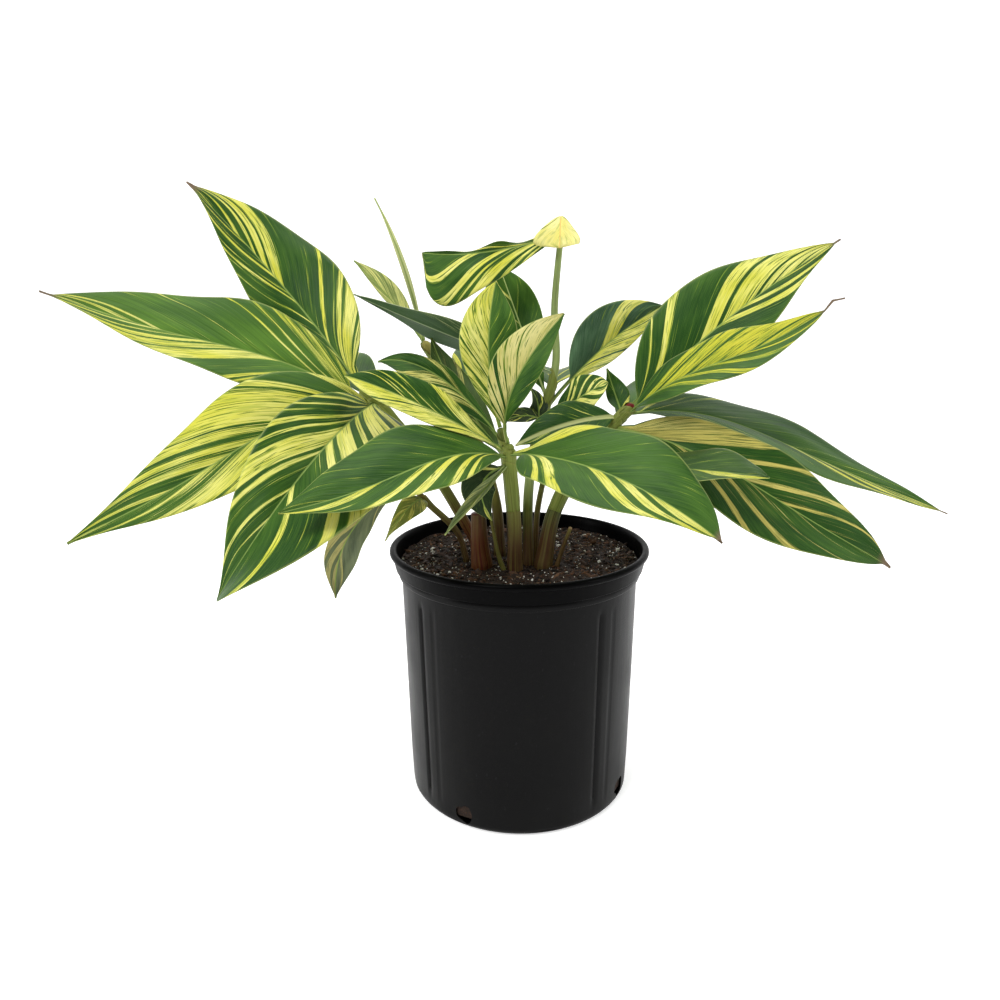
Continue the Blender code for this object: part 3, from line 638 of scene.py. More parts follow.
def caneLook(name, tones, number, papery=0.0, end=None):
    m = LookMaker(name, {"Specular IOR Level": 0.12})
    base, mid, top = (caneTones[tone] for tone in tones)
    around, along, height = m.read("caneMap", "Vector").parts()
    lines = m.noise(m.join(around * 34.0, height * 11.0, number * 2.3), 1.0, 3.0)
    broad = m.noise(m.join(around * 6.0, height * 22.0, number * 5.1))
    rise = ((height - caneRule["darkBelow"]) / caneRule["paleOver"]).held()
    tone = m.node("ShaderNodeValToRGB", {0: rise + (broad - 0.5) * 0.5},
                  stops=[(0.0, base), (0.28, base), (0.62, mid), (1.0, top)])
    stripe = ((lines - 0.5) * 3.0 + 0.4).held()
    dark = ((0.48 - lines).held() * 5.0).held()
    colour = m.mixed(stripe * 0.45, tone, caneTones["straw"])
    colour = m.mixed(dark * (0.80 - rise * 0.30), colour, caneTones["brown"])
    if end:
        colour = m.mixed(along.step(0.955, 0.975), colour, caneTones[end])
    if papery:
        rim = (along - 0.93).held() * 12.0
        sideEdge = (abs(around - 0.5) * 2.0 - 0.93).held() * 12.0
        colour = m.mixed(rim.most(sideEdge).held() * papery, colour, caneTones["paper"])
    return m.finish(colour, 0.46 + (broad - 0.5) * 0.2, lines + broad * 0.4, 0.6, 0.0006)


# Tones of leaves deep in the shade
shadedTones = {"deep": (.014, .030, .010), "mid": (.050, .075, .026), "lit": (.110, .140, .050)}
# Each leaf: cane, height on it, the midrib's shoulder and tip, half width, shape, and then
# its bands of (first, last, yellowness) along the veins of the left and the right half
leafPlans = {
    # Left-hand cane
    "left_rising": dict(
        cane="left", height=.403, shoulder=(-.228, .085, .498), tip=(-.312, .040, .596), halfWidth=.054,
        roll=(62, 40), fold=(4, 10), sides=(.7, 1), widest=.44, taper=.85, heel=(0, .4), petiole=.09,
        light=.3, point=.97,
        left=((.12, .16, .6), (.22, .23, .5), (.30, .31, .5), (.41, .43, .9), (.455, .465, .6),
              (.54, .57, .9), (.60, .615, .7), (.70, .73, .9), (.86, 1, .8)),
        right=((-.30, -.26, .9), (-.20, -.12, .9), (-.08, .04, .85), (.06, .10, 1), (.125, .135, .5),
               (.205, .225, 1), (.50, .565, 1.08), (.585, .63, 1.08), (.66, .68, 1), (.75, .78, 1),
               (.87, .89, .6), (.95, 1, .8))),
    "left_long": dict(
        cane="left", height=.391, shoulder=(-.280, .018, .452), tip=(-.396, -.080, .494), bow=.005,
        halfWidth=.055, roll=(48, 34), sides=(.94, 1), widest=.44, taper=.80, petiole=.08, light=.78,
        point=.975, kink=.0015,
        left=((.0, .03, .8), (.05, .065, .7), (.09, .11, 1), (.13, .15, .8), (.31, .42, .85),
              (.435, .50, .75), (.52, .56, .9), (.60, .62, .6), (.68, .72, .8), (.80, .84, .6),
              (.90, 1, .9)),
        right=((-.24, -.12, .44), (-.10, .06, .49), (.10, .115, .6), (.17, .185, .8), (.37, .375, .5),
               (.46, .465, .5), (.68, .71, .9), (.76, .80, 1), (.87, 1, .9))),
    "left_drooping": dict(
        cane="left", height=.386, shoulder=(-.226, -.078, .390), tip=(-.362, -.150, .298), bow=.008,
        halfWidth=.049, roll=(56, 42), fold=(8, 8), sides=(.85, 1), widest=.40, taper=1.05,
        ground=(.84, .80), light=.4, busy=1.3,
        left=((-.30, -.24, 0), (-.18, -.10, .1), (-.05, .01, 0), (.05, .08, .1), (.13, .17, 0),
              (.22, .24, .2), (.31, .33, .2), (.47, .60, .2), (.64, .86, 0)),
        right=((-.10, .06, 0), (.10, .12, .2), (.345, .365, .2), (.42, .46, 0), (.51, .55, 0),
               (.60, .72, 0), (.77, .88, 0))),
    "left_front": dict(
        cane="left", height=.392, shoulder=(-.160, -.170, .380), tip=(-.240, -.170, .257),
        halfWidth=.056, roll=(48, 34), fold=(25, 12), sides=(1.35, .8), taper=.90, heel=(.6, 0),
        light=.2,
        left=((-.30, -.24, 1), (-.16, -.08, 1), (-.04, .10, .88), (.14, .17, 1), (.21, .30, .9),
              (.335, .38, 1.1), (.56, .60, .7)),
        right=((-.28, -.25, .9), (-.18, -.15, .9), (-.09, -.06, 1), (.0, .02, .8), (.06, .075, .7),
               (.11, .14, .9), (.18, .20, .8), (.24, .36, .80), (.39, .42, .9), (.47, .48, .5),
               (.56, .60, .6), (.70, .72, .5))),
    "left_small": dict(
        cane="low", height=.300, shoulder=(-.099, -.054, .312), tip=(-.125, -.052, .270),
        halfWidth=.014, roll=(30, 30), sides=(1, .7), ground=(.2, .2), busy=1.3, cream=0,
        left=((.0, .1, .7), (.3, .4, .6), (.6, .7, .6)),
        right=((.1, .2, .6), (.45, .55, .6), (.75, .85, .5)),
        tones={"deep": (.060, .085, .014), "mid": (.160, .190, .036), "yellow": (.450, .430, .080),
               "lime": (.200, .200, .040)}),
    "left_hanging": dict(
        cane="low", height=.318, shoulder=(-.180, -.032, .280), tip=(-.174, -.050, .213),
        halfWidth=.026, roll=(30, 30), fold=(10, 10), sides=(.9, .7), widest=.5, ground=(-.1, .0),
        cream=.2,
        left=((.0, .04, .6), (.62, .68, .6)),
        right=((.30, .42, .8), (.50, .62, .9), (.70, 1, .9)),
        tones={"deep": (.040, .056, .028), "mid": (.110, .135, .070), "lit": (.200, .220, .110),
               "yellow": (.360, .320, .110), "cream": (.420, .380, .160), "lime": (.200, .210, .080)}),
    # Front cane
    "front_left": dict(
        cane="front", height=.350, shoulder=(-.085, -.158, .366), tip=(-.178, -.200, .334), bow=.005,
        halfWidth=.042, roll=(30, 22), sides=(.9, 1), widest=.45, taper=.90,
        left=((.0, .04, .9), (.08, .12, .9), (.22, .27, 1), (.36, .41, .9), (.60, .70, .9)),
        right=((.20, .205, .35), (.45, .455, .4), (.80, .82, .5))),
    "front_right": dict(
        cane="front", height=.352, shoulder=(.062, -.195, .376), tip=(.137, -.220, .316),
        halfWidth=.055, roll=(-24, -20), sides=(.85, .9), taper=.90, heel=(.5, 0), petiole=.08,
        point=.98,
        left=((-.36, -.03, 1),),
        right=((.02, .06, .9), (.10, .16, 1), (.40, .46, .9), (.52, .60, 1), (.66, .90, .9),
               (.93, 1, 1))),
    "front_high": dict(
        cane="front", height=.355, shoulder=(-.094, -.085, .408), tip=(-.152, -.062, .422),
        halfWidth=.026, roll=(50, 50), fold=(30, 14), sides=(1, .85), widest=.5, ground=(.76, -.1),
        light=.1,
        left=((.02, .05, .2), (.40, .43, .1)),
        right=((-.10, .15, .8), (.36, .38, .6), (.46, .48, .7), (.56, .58, .6))),
    "front_narrow": dict(
        cane="front", height=.342, shoulder=(-.039, -.086, .317), tip=(-.067, -.090, .286),
        halfWidth=.007, roll=(20, 20), fold=(30, 30), widest=.5, ground=(.3, .2),
        left=((.3, .5, .6),),
        right=((.2, .3, .5),),
        tones={"deep": (.110, .150, .060), "mid": (.240, .290, .130), "yellow": (.420, .440, .210),
               "lime": (.300, .350, .150), "underGreen": (.240, .290, .140),
               "underYellow": (.420, .440, .240)}),
    "centre_short": dict(
        cane="front", onTop=True, shoulder=(-.026, -.078, .406), tip=(.037, -.062, .473), upright=True,
        halfWidth=.034, fold=(10, 25), sides=(.8, .5), widest=.55, taper=.85, petiole=.18,
        ground=(.95, -.1), edgeTone=.8, cream=.7, light=.25,
        left=((-.20, -.12, .1), (.0, .06, .1), (.15, .18, .2), (.26, .31, 0), (.38, .40, .2),
              (.53, .55, .3)),
        right=((.30, .31, .4), (.90, 1, .8)),
        tones={"yellow": (.560, .500, .140), "cream": (.680, .620, .260)}),
    # Inner cane
    "centre_tall": dict(
        cane="inner", onTop=True, shoulder=(-.036, -.052, .436), tip=(-.021, -.040, .500), upright=True,
        halfWidth=.026, fold=(8, 8), widest=.60, taper=.85, ground=(.80, -.1), edgeTone=.9, light=.5,
        left=((-.20, .06, .42), (.10, .17, .45), (.29, .31, .1), (.52, .53, .3)),
        right=((.04, .10, .6), (.20, .24, .75), (.265, .285, .6), (.50, .505, .3))),
    "inner_left": dict(
        cane="inner", height=.362, shoulder=(-.080, -.026, .443), tip=(-.128, -.030, .432),
        halfWidth=.024, roll=(50, 50), fold=(10, 10), sides=(1, .5), widest=.5, ground=(-.1, -.1),
        light=.15,
        left=((.05, .25, .6), (.30, .50, .55)),
        right=((.2, .3, .5),),
        tones={"yellow": (.420, .380, .070), "lime": (.220, .240, .050)}),
    "inner_shaded": dict(
        cane="inner", height=.345, shoulder=(-.070, .020, .405), tip=(-.084, .026, .451),
        halfWidth=.018, roll=(40, 40),
        left=((.1, .2, .6), (.4, .5, .5)),
        right=((.3, .4, .6), (.6, .64, .5)),
        tones={"deep": (.018, .038, .010), "mid": (.052, .088, .022), "yellow": (.200, .200, .050),
               "lime": (.110, .115, .030)}),
    "inner_hanging": dict(
        cane="inner", height=.335, shoulder=(-.050, -.050, .328), tip=(-.026, -.055, .289),
        upright=True, halfWidth=.019, fold=(4, 4), sides=(.7, 1), widest=.5, edgeTone=1, light=0,
        left=((.80, 1, .6),),
        right=((.0, .10, .8), (.78, 1, .6)),
        tones=shadedTones),
    # Right-hand cane
    "right_rising": dict(
        cane="right", height=.388, shoulder=(.197, .040, .470), tip=(.301, .020, .539), halfWidth=.052,
        roll=(-58, -40), fold=(10, 10), sides=(1.05, .82), taper=.90, light=.12, point=.98,
        left=((-.05, -.03, .6), (.06, .11, 1.1), (.36, .44, 1), (.47, .62, .85), (.645, .70, .95),
              (.72, .80, .8), (.83, 1, .9)),
        right=((.44, .50, .9), (.55, .60, .9), (.72, .76, .9), (.86, .90, .7))),
    "right_level": dict(
        cane="right", height=.384, shoulder=(.168, -.062, .430), tip=(.267, -.080, .484), bow=.005,
        halfWidth=.044, roll=(-45, -45), fold=(10, 25), sides=(.66, 1), widest=.455, taper=.82,
        light=.4, cream=.0, point=.925, kink=.0045,
        left=((.02, .12, .6), (.16, .30, .66), (.33, .62, .74), (.65, .78, .70), (.80, .93, .66)),
        right=((.10, .16, .55), (.24, .30, .62), (.40, .46, .6), (.56, .60, .6)),
        tones={"yellow": (.520, .500, .035), "cream": (.640, .560, .060)}),
    "right_long": dict(
        cane="right", height=.384, shoulder=(.240, .020, .374), tip=(.405, -.030, .287), bow=.006,
        halfWidth=.053, roll=(-16, -16), fold=(6, 6), widest=.45, taper=.90, light=.25, point=.985,
        left=((-.30, -.15, .8), (.0, .02, .4)),
        right=((.50, .54, .9), (.60, .65, 1), (.70, .76, .9), (.82, .90, .9)),
        tones={"underGreen": (.050, .105, .026)}),
    "right_drooping": dict(
        cane="right", height=.370, shoulder=(.190, -.104, .347), tip=(.312, -.115, .262), bow=.004,
        halfWidth=.054, roll=(-38, -38), fold=(14, 10), sides=(.75, .95), widest=.52, taper=.85,
        heel=(.42, 0), petiole=.07, cream=.1, light=.12, busy=1.2, point=.975,
        left=((-.20, .20, .64), (.30, .33, 1), (.46, .50, 1), (.60, .63, .9)),
        right=((.22, .25, .9), (.34, .38, .9), (.50, .505, .6)),
        # Browner yellows, a darker lime and a duller under side: painted shade on this blade
        tones={"yellow": (.500, .430, .100), "cream": (.600, .540, .190), "lime": (.150, .170, .035),
               "underYellow": (.330, .300, .100)}),
    "right_under": dict(
        cane="right", height=.335, shoulder=(.143, -.140, .354), tip=(.184, -.170, .352),
        halfWidth=.037, roll=(-12, -12), fold=(8, 8), petiole=.14, light=.3, edgeTone=.8,
        right=((.52, .72, .85),),
        tones={"deep": (.022, .058, .012), "mid": (.052, .108, .024), "lit": (.120, .200, .060),
               "underGreen": (.050, .100, .028)}),
    "right_inner": dict(
        cane="right", height=.376, shoulder=(.045, -.030, .380), tip=(-.004, -.040, .356),
        halfWidth=.024, roll=(40, 40), fold=(8, 8), ribWide=2.4, ribTone=1, light=.05,
        left=((.62, .70, .4),),
        right=((.15, .17, .4),),
        tones={"rib": (.420, .450, .180)}),
    "right_small": dict(
        cane="right", height=.380, shoulder=(.096, .026, .393), tip=(.086, .020, .421), upright=True,
        halfWidth=.015, sides=(.6, .9), light=.2,
        right=((-.25, .02, .9),)),
    # Tall cane
    "right_curled": dict(
        cane="tall", height=.385, shoulder=(.088, .062, .450), tip=(.145, .056, .480), upright=True,
        halfWidth=.0295, fold=(10, 25), sides=(1.2, .6), widest=.44, taper=.85, petiole=.20,
        ground=(-.1, .80), cream=.6, light=.25,
        left=((.45, .60, 1), (.84, .86, .6)),
        right=((.10, .12, 0), (.25, .28, 0), (.44, .46, 0), (.62, .64, 0)),
        tones={"deep": (.030, .072, .032), "mid": (.085, .170, .080), "lit": (.230, .330, .230)}),
    "rear_broad": dict(
        cane="tall", height=.392, shoulder=(.004, .085, .461), tip=(-.017, .090, .519), upright=True,
        halfWidth=.038, fold=(10, 10), sides=(1, .68), widest=.6, taper=.75, light=.55, ribTone=1,
        left=((.72, .75, .8), (.42, .425, .4)),
        right=((.60, .605, .4),),
        tones={"rib": (.420, .520, .180)}),
    "middle_small": dict(
        cane="tall", height=.362, shoulder=(.024, .036, .388), tip=(.012, .034, .402), halfWidth=.010,
        roll=(40, 40), light=0,
        right=((.3, .4, .5),),
        tones=shadedTones),
    "top_folded": dict(
        cane="tall", height=.548, shoulder=(-.036, .045, .524), tip=(-.091, .030, .530), halfWidth=.054,
        roll=(66, 66), fold=(4, 4), sides=(1, .05), widest=.86, taper=.32, heel=(.2, 3), petiole=.0,
        sweep=.55, light=.2, sleeve=0,
        left=((-.44, -.26, 1.08), (-.14, -.07, .8), (-.01, .06, 1), (.13, .26, 1), (.31, .34, .8),
              (.39, .46, 1.1), (.60, .67, 1.08)),
        right=((-.4, -.1, 1), (.2, .3, .8))),
    "top_bract": dict(
        cane="tall", height=.545, shoulder=(.041, .038, .588), tip=(.040, .036, .534), halfWidth=.025,
        fold=(-16, -16), sides=(.8, 1.2), widest=.93, taper=.3, ground=(1.2, 1.1), cream=.6,
        edgeTone=.2, sleeve=0, nicks=.15,
        left=((.20, .27, 0), (.33, .36, .2)),
        right=((.42, .46, .1), (.25, .28, .3)),
        tones={"yellow": (.800, .720, .180), "cream": (.860, .800, .330), "rib": (.780, .480, .130)}),
    # Slim cane
    "middle_striped": dict(
        cane="slim", onTop=True, shoulder=(.058, .012, .397), tip=(.085, .004, .409), halfWidth=.022,
        roll=(-50, -50), fold=(8, 8), widest=.55, taper=.7, cream=.8, light=.2,
        left=((.16, .22, .7), (.28, .33, .8), (.44, .48, .7), (.60, .66, .8), (.74, .90, .8)),
        right=((.05, .08, .6), (.20, .26, .7), (.34, .48, .85), (.58, .72, .8), (.82, .90, .6))),
    "middle_low": dict(
        cane="slim", height=.366, shoulder=(.010, .018, .384), tip=(-.016, .010, .371), halfWidth=.013,
        roll=(50, 50), sides=(.7, .7), petiole=.28, light=.1,
        left=((.2, .25, .6), (.5, .55, .6)),
        right=((.3, .33, .6), (.6, .64, .5)),
        tones=shadedTones),
    # Back cane
    "back_flat": dict(
        cane="tall", height=.415, shoulder=(-.059, .004, .450), tip=(-.152, .0, .492), halfWidth=.026,
        roll=(-24, -24), fold=(6, 6), sides=(1, 1.3), edgeTone=.9, light=.4,
        left=((.1, .4, .3),),
        tones={"deep": (.025, .060, .024), "mid": (.065, .120, .050), "lit": (.150, .220, .110),
               "underGreen": (.055, .110, .045), "underYellow": (.300, .360, .180),
               "rib": (.300, .380, .200), "edge": (.480, .540, .330)}),
    "back_upright": dict(
        cane="back", height=.444, shoulder=(-.116, .060, .480), tip=(-.163, .070, .526), upright=True,
        halfWidth=.014, fold=(6, 6), sides=(.35, 1), widest=.55, petiole=.15, ground=(.2, .35),
        left=((.3, .5, .6),),
        right=((.2, .35, .6), (.6, .7, .5)),
        tones={"deep": (.090, .140, .035), "mid": (.220, .280, .080), "lit": (.420, .470, .180),
               "lime": (.430, .480, .150), "yellow": (.620, .600, .220)}),
    "back_spike": dict(
        cane="back", onTop=True, shoulder=(-.108, .050, .526), tip=(-.137, .050, .582), upright=True,
        halfWidth=.0032, ground=(.4, .4),
        tones={"deep": (.330, .400, .140), "mid": (.520, .560, .260), "lime": (.560, .580, .280),
               "yellow": (.680, .680, .400)}),
    # Leaves behind, which the front ones hide
    "rear_left": dict(
        cane="left", height=.392, shoulder=(-.205, .110, .440), tip=(-.250, .200, .430), halfWidth=.036,
        left=((.05, .14, .9), (.30, .34, .8), (.48, .60, .9), (.72, .75, .7)),
        right=((-.15, -.08, .8), (.18, .22, .8), (.40, .43, .7), (.64, .74, .9))),
    "rear_centre": dict(
        cane="back", height=.400, shoulder=(-.010, .150, .455), tip=(-.017, .250, .417), halfWidth=.038,
        left=((-.10, -.02, .8), (.12, .16, .8), (.36, .46, .9), (.60, .63, .7)),
        right=((.02, .08, .8), (.26, .38, .9), (.52, .55, .7), (.78, .86, .8))),
    "rear_middle": dict(
        cane="tall", height=.400, shoulder=(.052, .150, .430), tip=(.055, .260, .385), halfWidth=.036,
        left=((.08, .20, .9), (.42, .45, .7), (.58, .66, .8)),
        right=((-.20, -.10, .8), (.10, .14, .8), (.32, .36, .8), (.55, .68, .9))),
    "rear_right": dict(
        cane="right", height=.372, shoulder=(.160, .090, .405), tip=(.205, .190, .392), halfWidth=.034,
        left=((.0, .05, .8), (.22, .32, .9), (.50, .54, .8), (.70, .78, .8)),
        right=((.12, .22, .9), (.38, .42, .7), (.62, .66, .7))),
}


def buildPlant():
    canes = {name: Cane(name, **plan) for name, plan in canePlans.items()}
    stemTree, sleeveTree, leafTree = caneTree(), sheathTree(), bladeTree()
    for number, cane in enumerate(canes.values()):
        look = caneLook("skin of cane " + cane.name, cane.tones, number, end=cane.end)
        stem = cane.grow("stem_" + cane.name, stemTree, number * 2.9, facing=(0, -1, 0), look=look,
                         **caneRule)
        settle(stem, "cane_skin", "cane_" + cane.name)
    print("canes:", len(canes))
    sleeves = {"low": caneLook("low sheath", ("brown", "olive", "olive"), 31, 0.3),
               "high": caneLook("upper sheath", ("green", "lush", "lush"), 32, 0.1),
               "top": caneLook("topmost sheath", ("pale", "pale", "pale"), 33, 0.2)}
    for number, (name, own) in enumerate(leafPlans.items()):
        plan = {**leafUsual, **own}
        cane = canes[plan["cane"]]
        seat, toward = cane.seat(plan)
        growBlade(leafTree, name, plan, seat, number + 1)
        if not plan["onTop"] and plan["sleeve"] > 0:
            height = plan["height"]
            kind = "top" if height > 0.45 else "high" if height > 0.33 else "low"
            sheath = cane.grow("sheath_" + name, sleeveTree, number * 4.1, facing=toward,
                               start=cane.at(height - plan["sleeve"])[1],
                               end=cane.at(height + sheathRule["above"])[1],
                               look=sleeves[kind], **sheathRule)
            settle(sheath, "cane_skin")
    print("leaves:", len(leafPlans))
    for cane in canes.values():
        bpy.data.objects.remove(cane.curve, do_unlink=True)


# Pot: outline sizes in metres, and grooves and holes by their turn round the pot in degrees
potPlan = {
    "height": 0.252, "lipRadius": 0.1275, "lipRound": 0.0034, "bandRadius": 0.1220,
    "lipTuck": 0.0026, "lipDrop": 0.0062, "bandBottom": 0.2315, "bandRound": 0.0014,
    "bandRise": 0.0016, "collarRadius": 0.1190, "collarBottom": 0.2245, "collarRound": 0.0012,
    "collarDrop": 0.0016, "nip": 0.0008, "shoulderRadius": 0.1165, "footRadius": 0.1117,
    "footCorner": 0.007, "wall": 0.0022, "floor": 0.0060, "sides": 288, "sharpTurn": 38,
    "grooveTurn": -142, "grooveWidth": 0.0030, "grooveDepth": 0.0018, "secondTurn": 8,
    "grooveTop": 0.217, "grooveBottom": 0.012,
    "drains": 4, "drainTurn": -119, "drainRadius": 0.0090, "drainHeight": 0.0145,
    "drainSides": 28, "drainDepth": 0.02,
    "ringInner": 0.034, "ringOuter": 0.088, "ringDepth": 0.003, "ringSlope": 0.004,
    "scallops": 16, "scallopDepth": 0.0006, "scallopHeight": 0.035,
}


# A solid of revolution: the shift dents its outline at each turn
def turned(name, outline, sides, look, shift):
    count = len(outline)
    vertices, faces = [], []
    for side in range(sides):
        turn = 2 * math.pi * side / sides
        following = (side + 1) % sides
        for k, (radius, height) in enumerate(outline):
            reach, level = shift(radius, height, turn)
            vertices.append((reach * math.cos(turn), reach * math.sin(turn), level))
            other = (k + 1) % count
            faces.append((side * count + k, following * count + k,
                          following * count + other, side * count + other))
    mesh = bpy.data.meshes.new(name)
    mesh.from_pydata(vertices, [], faces)
    work = bmesh.new()
    work.from_mesh(mesh)
    bmesh.ops.remove_doubles(work, verts=work.verts[:], dist=0.00002)
    bmesh.ops.recalc_face_normals(work, faces=work.faces[:])
    work.to_mesh(mesh)
    work.free()
    mesh.shade_smooth()
    mesh.set_sharp_from_angle(angle=math.radians(potPlan["sharpTurn"]))
    mesh.materials.append(look)
    return placed(name, mesh)


def arc(centre, radius, start, end, steps):
    turns = np.radians(np.linspace(start, end, steps + 1))
    return [(centre[0] + radius * math.cos(a), centre[1] + radius * math.sin(a)) for a in turns]


def between(first, last, steps):
    return [tuple(np.array(first) + (np.array(last) - np.array(first)) * k / steps)
            for k in range(1, steps)]


def potOutline(p):
    foot, corner, wall, lip = p["footRadius"], p["footCorner"], p["wall"], p["lipRound"]
    shoulder, collar, band = p["shoulderRadius"], p["collarRadius"], p["bandRadius"]
    low, high, fillet, bead = p["collarBottom"], p["bandBottom"], p["collarRound"], p["bandRound"]
    slope, depth = p["ringSlope"], p["ringDepth"]
    outer = [(0.0, 0.0), (p["ringInner"], 0.0), (p["ringInner"] + slope, depth),
             (p["ringOuter"] - slope, depth), (p["ringOuter"], 0.0)]
    outer += arc((foot - corner, corner), corner, -90, 0, 8)
    drop = (shoulder, low - p["collarDrop"])
    outer += between(outer[-1], drop, 60) + [drop]
    outer += arc((shoulder + fillet, low - fillet), fillet, 180, 100, 4)
    outer += arc((collar - fillet, low + fillet), fillet, -80, 0, 5)
    outer += between(outer[-1], (collar, high - 0.0012), 3)
    outer += [(collar - p["nip"], high - 0.0006), (collar, high)]
    outer += arc((band - bead, high + p["bandRise"]), bead, -80, 0, 5)
    under = (p["lipRadius"] - p["lipTuck"], p["height"] - p["lipDrop"])
    outer += between(outer[-1], under, 5) + [under, (under[0] + 0.0010, under[1] + 0.0001)]
    outer += arc((p["lipRadius"] - lip, p["height"] - lip), lip, -38, 158, 14)
    return outer + [(p["lipRadius"] - 2 * lip - 0.0002, p["height"] - 0.008),
                    (band - wall - 0.0016, high + 0.0008), (shoulder - wall, low - 0.002),
                    (foot - wall, p["floor"] + corner / 2), (foot - corner, p["floor"]),
                    (0.0, p["floor"])]


# Pairs of grooves down the wall, a scalloped foot and slight waves of the blown plastic
def potShift(radius, height, turn):
    p = potPlan
    body = p["footRadius"] + (p["shoulderRadius"] - p["footRadius"]) * height / p["collarBottom"]
    if radius > body - 0.0008 and 0.001 < height < p["collarBottom"]:
        window = held((height - p["grooveBottom"]) / 0.012) * held((p["grooveTop"] - height) / 0.008)
        for extra, depth, width in ((0, 1.0, 1.0), (p["secondTurn"], 0.35, 0.8)):
            away = (math.degrees(turn) - p["grooveTurn"] - extra + 45) % 90 - 45
            distance = math.radians(away) * radius / (p["grooveWidth"] * width / 2)
            radius -= p["grooveDepth"] * depth * window * math.exp(-distance ** 4)
        low = max(0.0, 1 - height / p["scallopHeight"])
        radius -= p["scallopDepth"] * low * (0.5 - 0.5 * math.cos(p["scallops"] * turn))
        place = Vector((math.cos(turn) * 2.2, math.sin(turn) * 2.2, height * 7))
        radius += 0.0005 * noise.noise(place)
    return radius, height


def potLook(name, shine):
    m = LookMaker(name, {"Specular IOR Level": shine, "IOR": 1.49})
    spot = m.spot()
    x, y, z = spot.parts()
    turn = m.sum("ARCTAN2", y, x)
    cloud = m.noise(m.join(turn.cos() * 0.12, turn.sin() * 0.12, z), 14.0, 3.0)
    grit = m.noise(spot, 900.0)
    drawn = m.noise(m.join(turn * 9.0, z * 6.0, 0.0), 1.0, 3.0)
    rings = m.noise(m.join(z * 900.0, turn * 0.8, 4.0), 1.0, 1.0)
    scuff = m.noise(m.join(turn * 30.0, z * 120.0, 2.0), 1.0, 4.0).step(0.66, 0.74)
    low = 1.0 - (z / 0.05).held()
    dust = ((cloud - 0.45).held() * 1.6 + low * 0.35 * drawn).held()
    base = m.mixed(dust * 0.5, (0.0006, 0.0006, 0.0007), (0.0040, 0.0039, 0.0037))
    base = m.mixed(scuff * 0.35, base, (0.014, 0.014, 0.015))
    rough = 0.36 + (cloud - 0.5) * 0.18 + (drawn - 0.5) * 0.14 + scuff * 0.12 + dust * 0.10
    return m.finish(base, rough, grit * 0.30 + drawn * 0.9 + rings * 0.12 + cloud * 0.8, 0.30, 0.0010)


def buildPot():
    p = potPlan
    look = potLook("black nursery plastic", 0.095)
    raw = turned("potBody", potOutline(p), p["sides"], look, potShift)
    cutters = []
    for k in range(p["drains"]):
        turn = math.radians(p["drainTurn"] + 360 / p["drains"] * k)
        work = bmesh.new()
        bmesh.ops.create_cone(work, cap_ends=True, segments=p["drainSides"],
                              radius1=p["drainRadius"], radius2=p["drainRadius"],
                              depth=p["drainDepth"])
        # Holes that are not quite round
        for v in work.verts:
            spin = math.atan2(v.co.y, v.co.x)
            v.co.xy *= 1 + 0.10 * math.sin(3 * spin + k) + 0.06 * math.sin(5 * spin + 2 * k)
        mesh = bpy.data.meshes.new("drain")
        work.to_mesh(mesh)
        work.free()
        cutter = placed("drain", mesh)
        out = p["footRadius"]
        cutter.location = (out * math.cos(turn), out * math.sin(turn), p["drainHeight"])
        cutter.rotation_euler = (0, math.pi / 2, turn)
        step = raw.modifiers.new("drain", "BOOLEAN")
        step.operation, step.solver, step.object = "DIFFERENCE", "EXACT", cutter
        cutters.append(cutter)
    pot = solved("nursery_pot", raw)
    pot.data.materials.append(potLook("rim of the pot", 0.035))
    for face in pot.data.polygons:
        face.material_index = int(face.center.z > p["bandBottom"])
    for item in cutters + [raw]:
        bpy.data.objects.remove(item, do_unlink=True)
    print("pot:", len(pot.data.polygons), "faces")
    settle(pot, "pot_plastic", "pot")


# Soil: a mounded plug of potting mix
soilPlan = {
    "level": 0.2380, "crown": 0.0026, "edge": 0.1172, "play": 0.0004, "sides": 180, "rings": 44,
    "bump": 0.0030, "grain": 0.0016, "openAbove": 0.2, "steepest": 0.6,
}
# Loose on top: how many per square metre, smallest and largest size, stretch, roundness, and the
# look's name, roughness and dark, middle and pale tone
crumbKinds = {
    "bark": dict(
        density=78000, small=.0008, large=.0024, stretch=(1.6, .9, .45), sides=1, seed=3, rim=.002,
        look=("bark crumbs", .85, (.004, .002, .001), (.021, .009, .004), (.100, .042, .018))),
    "chips": dict(
        density=5200, small=.0022, large=.0048, stretch=(1.9, .8, .30), sides=1, seed=8, rim=.002,
        look=("bark chips", .8, (.009, .004, .003), (.036, .015, .007), (.150, .070, .032))),
    "perlite": dict(
        density=15000, small=.0005, large=.0013, stretch=(1, .9, .8), sides=1, seed=21, rim=.002,
        look=("perlite", .75, (.420, .400, .360), (.640, .620, .570), (.800, .790, .750))),
    "pearls": dict(
        density=900, small=.0014, large=.0028, stretch=(1, .9, .75), sides=2, seed=34, rim=.002,
        look=("large perlite", .75, (.500, .480, .430), (.680, .660, .610), (.820, .810, .770))),
    "fibres": dict(
        density=9000, length=.011, thickness=.030, seed=5, rim=.004,
        look=("coir fibres", .8, (.060, .030, .016), (.140, .080, .045), (.330, .220, .130))),
}


def soilShift(radius, height, turn):
    p = soilPlan
    if height > p["openAbove"]:
        place = Vector((radius * math.cos(turn), radius * math.sin(turn), 0.0))
        height += p["bump"] * noise.noise(place * 38) + p["grain"] * noise.noise(place * 170)
        height += p["grain"] * 0.5 * noise.noise(place * 420)
    elif height > 0.008:
        radius += 0.0006 * noise.noise(Vector((math.cos(turn) * 9, math.sin(turn) * 9, height * 80)))
    return radius, height


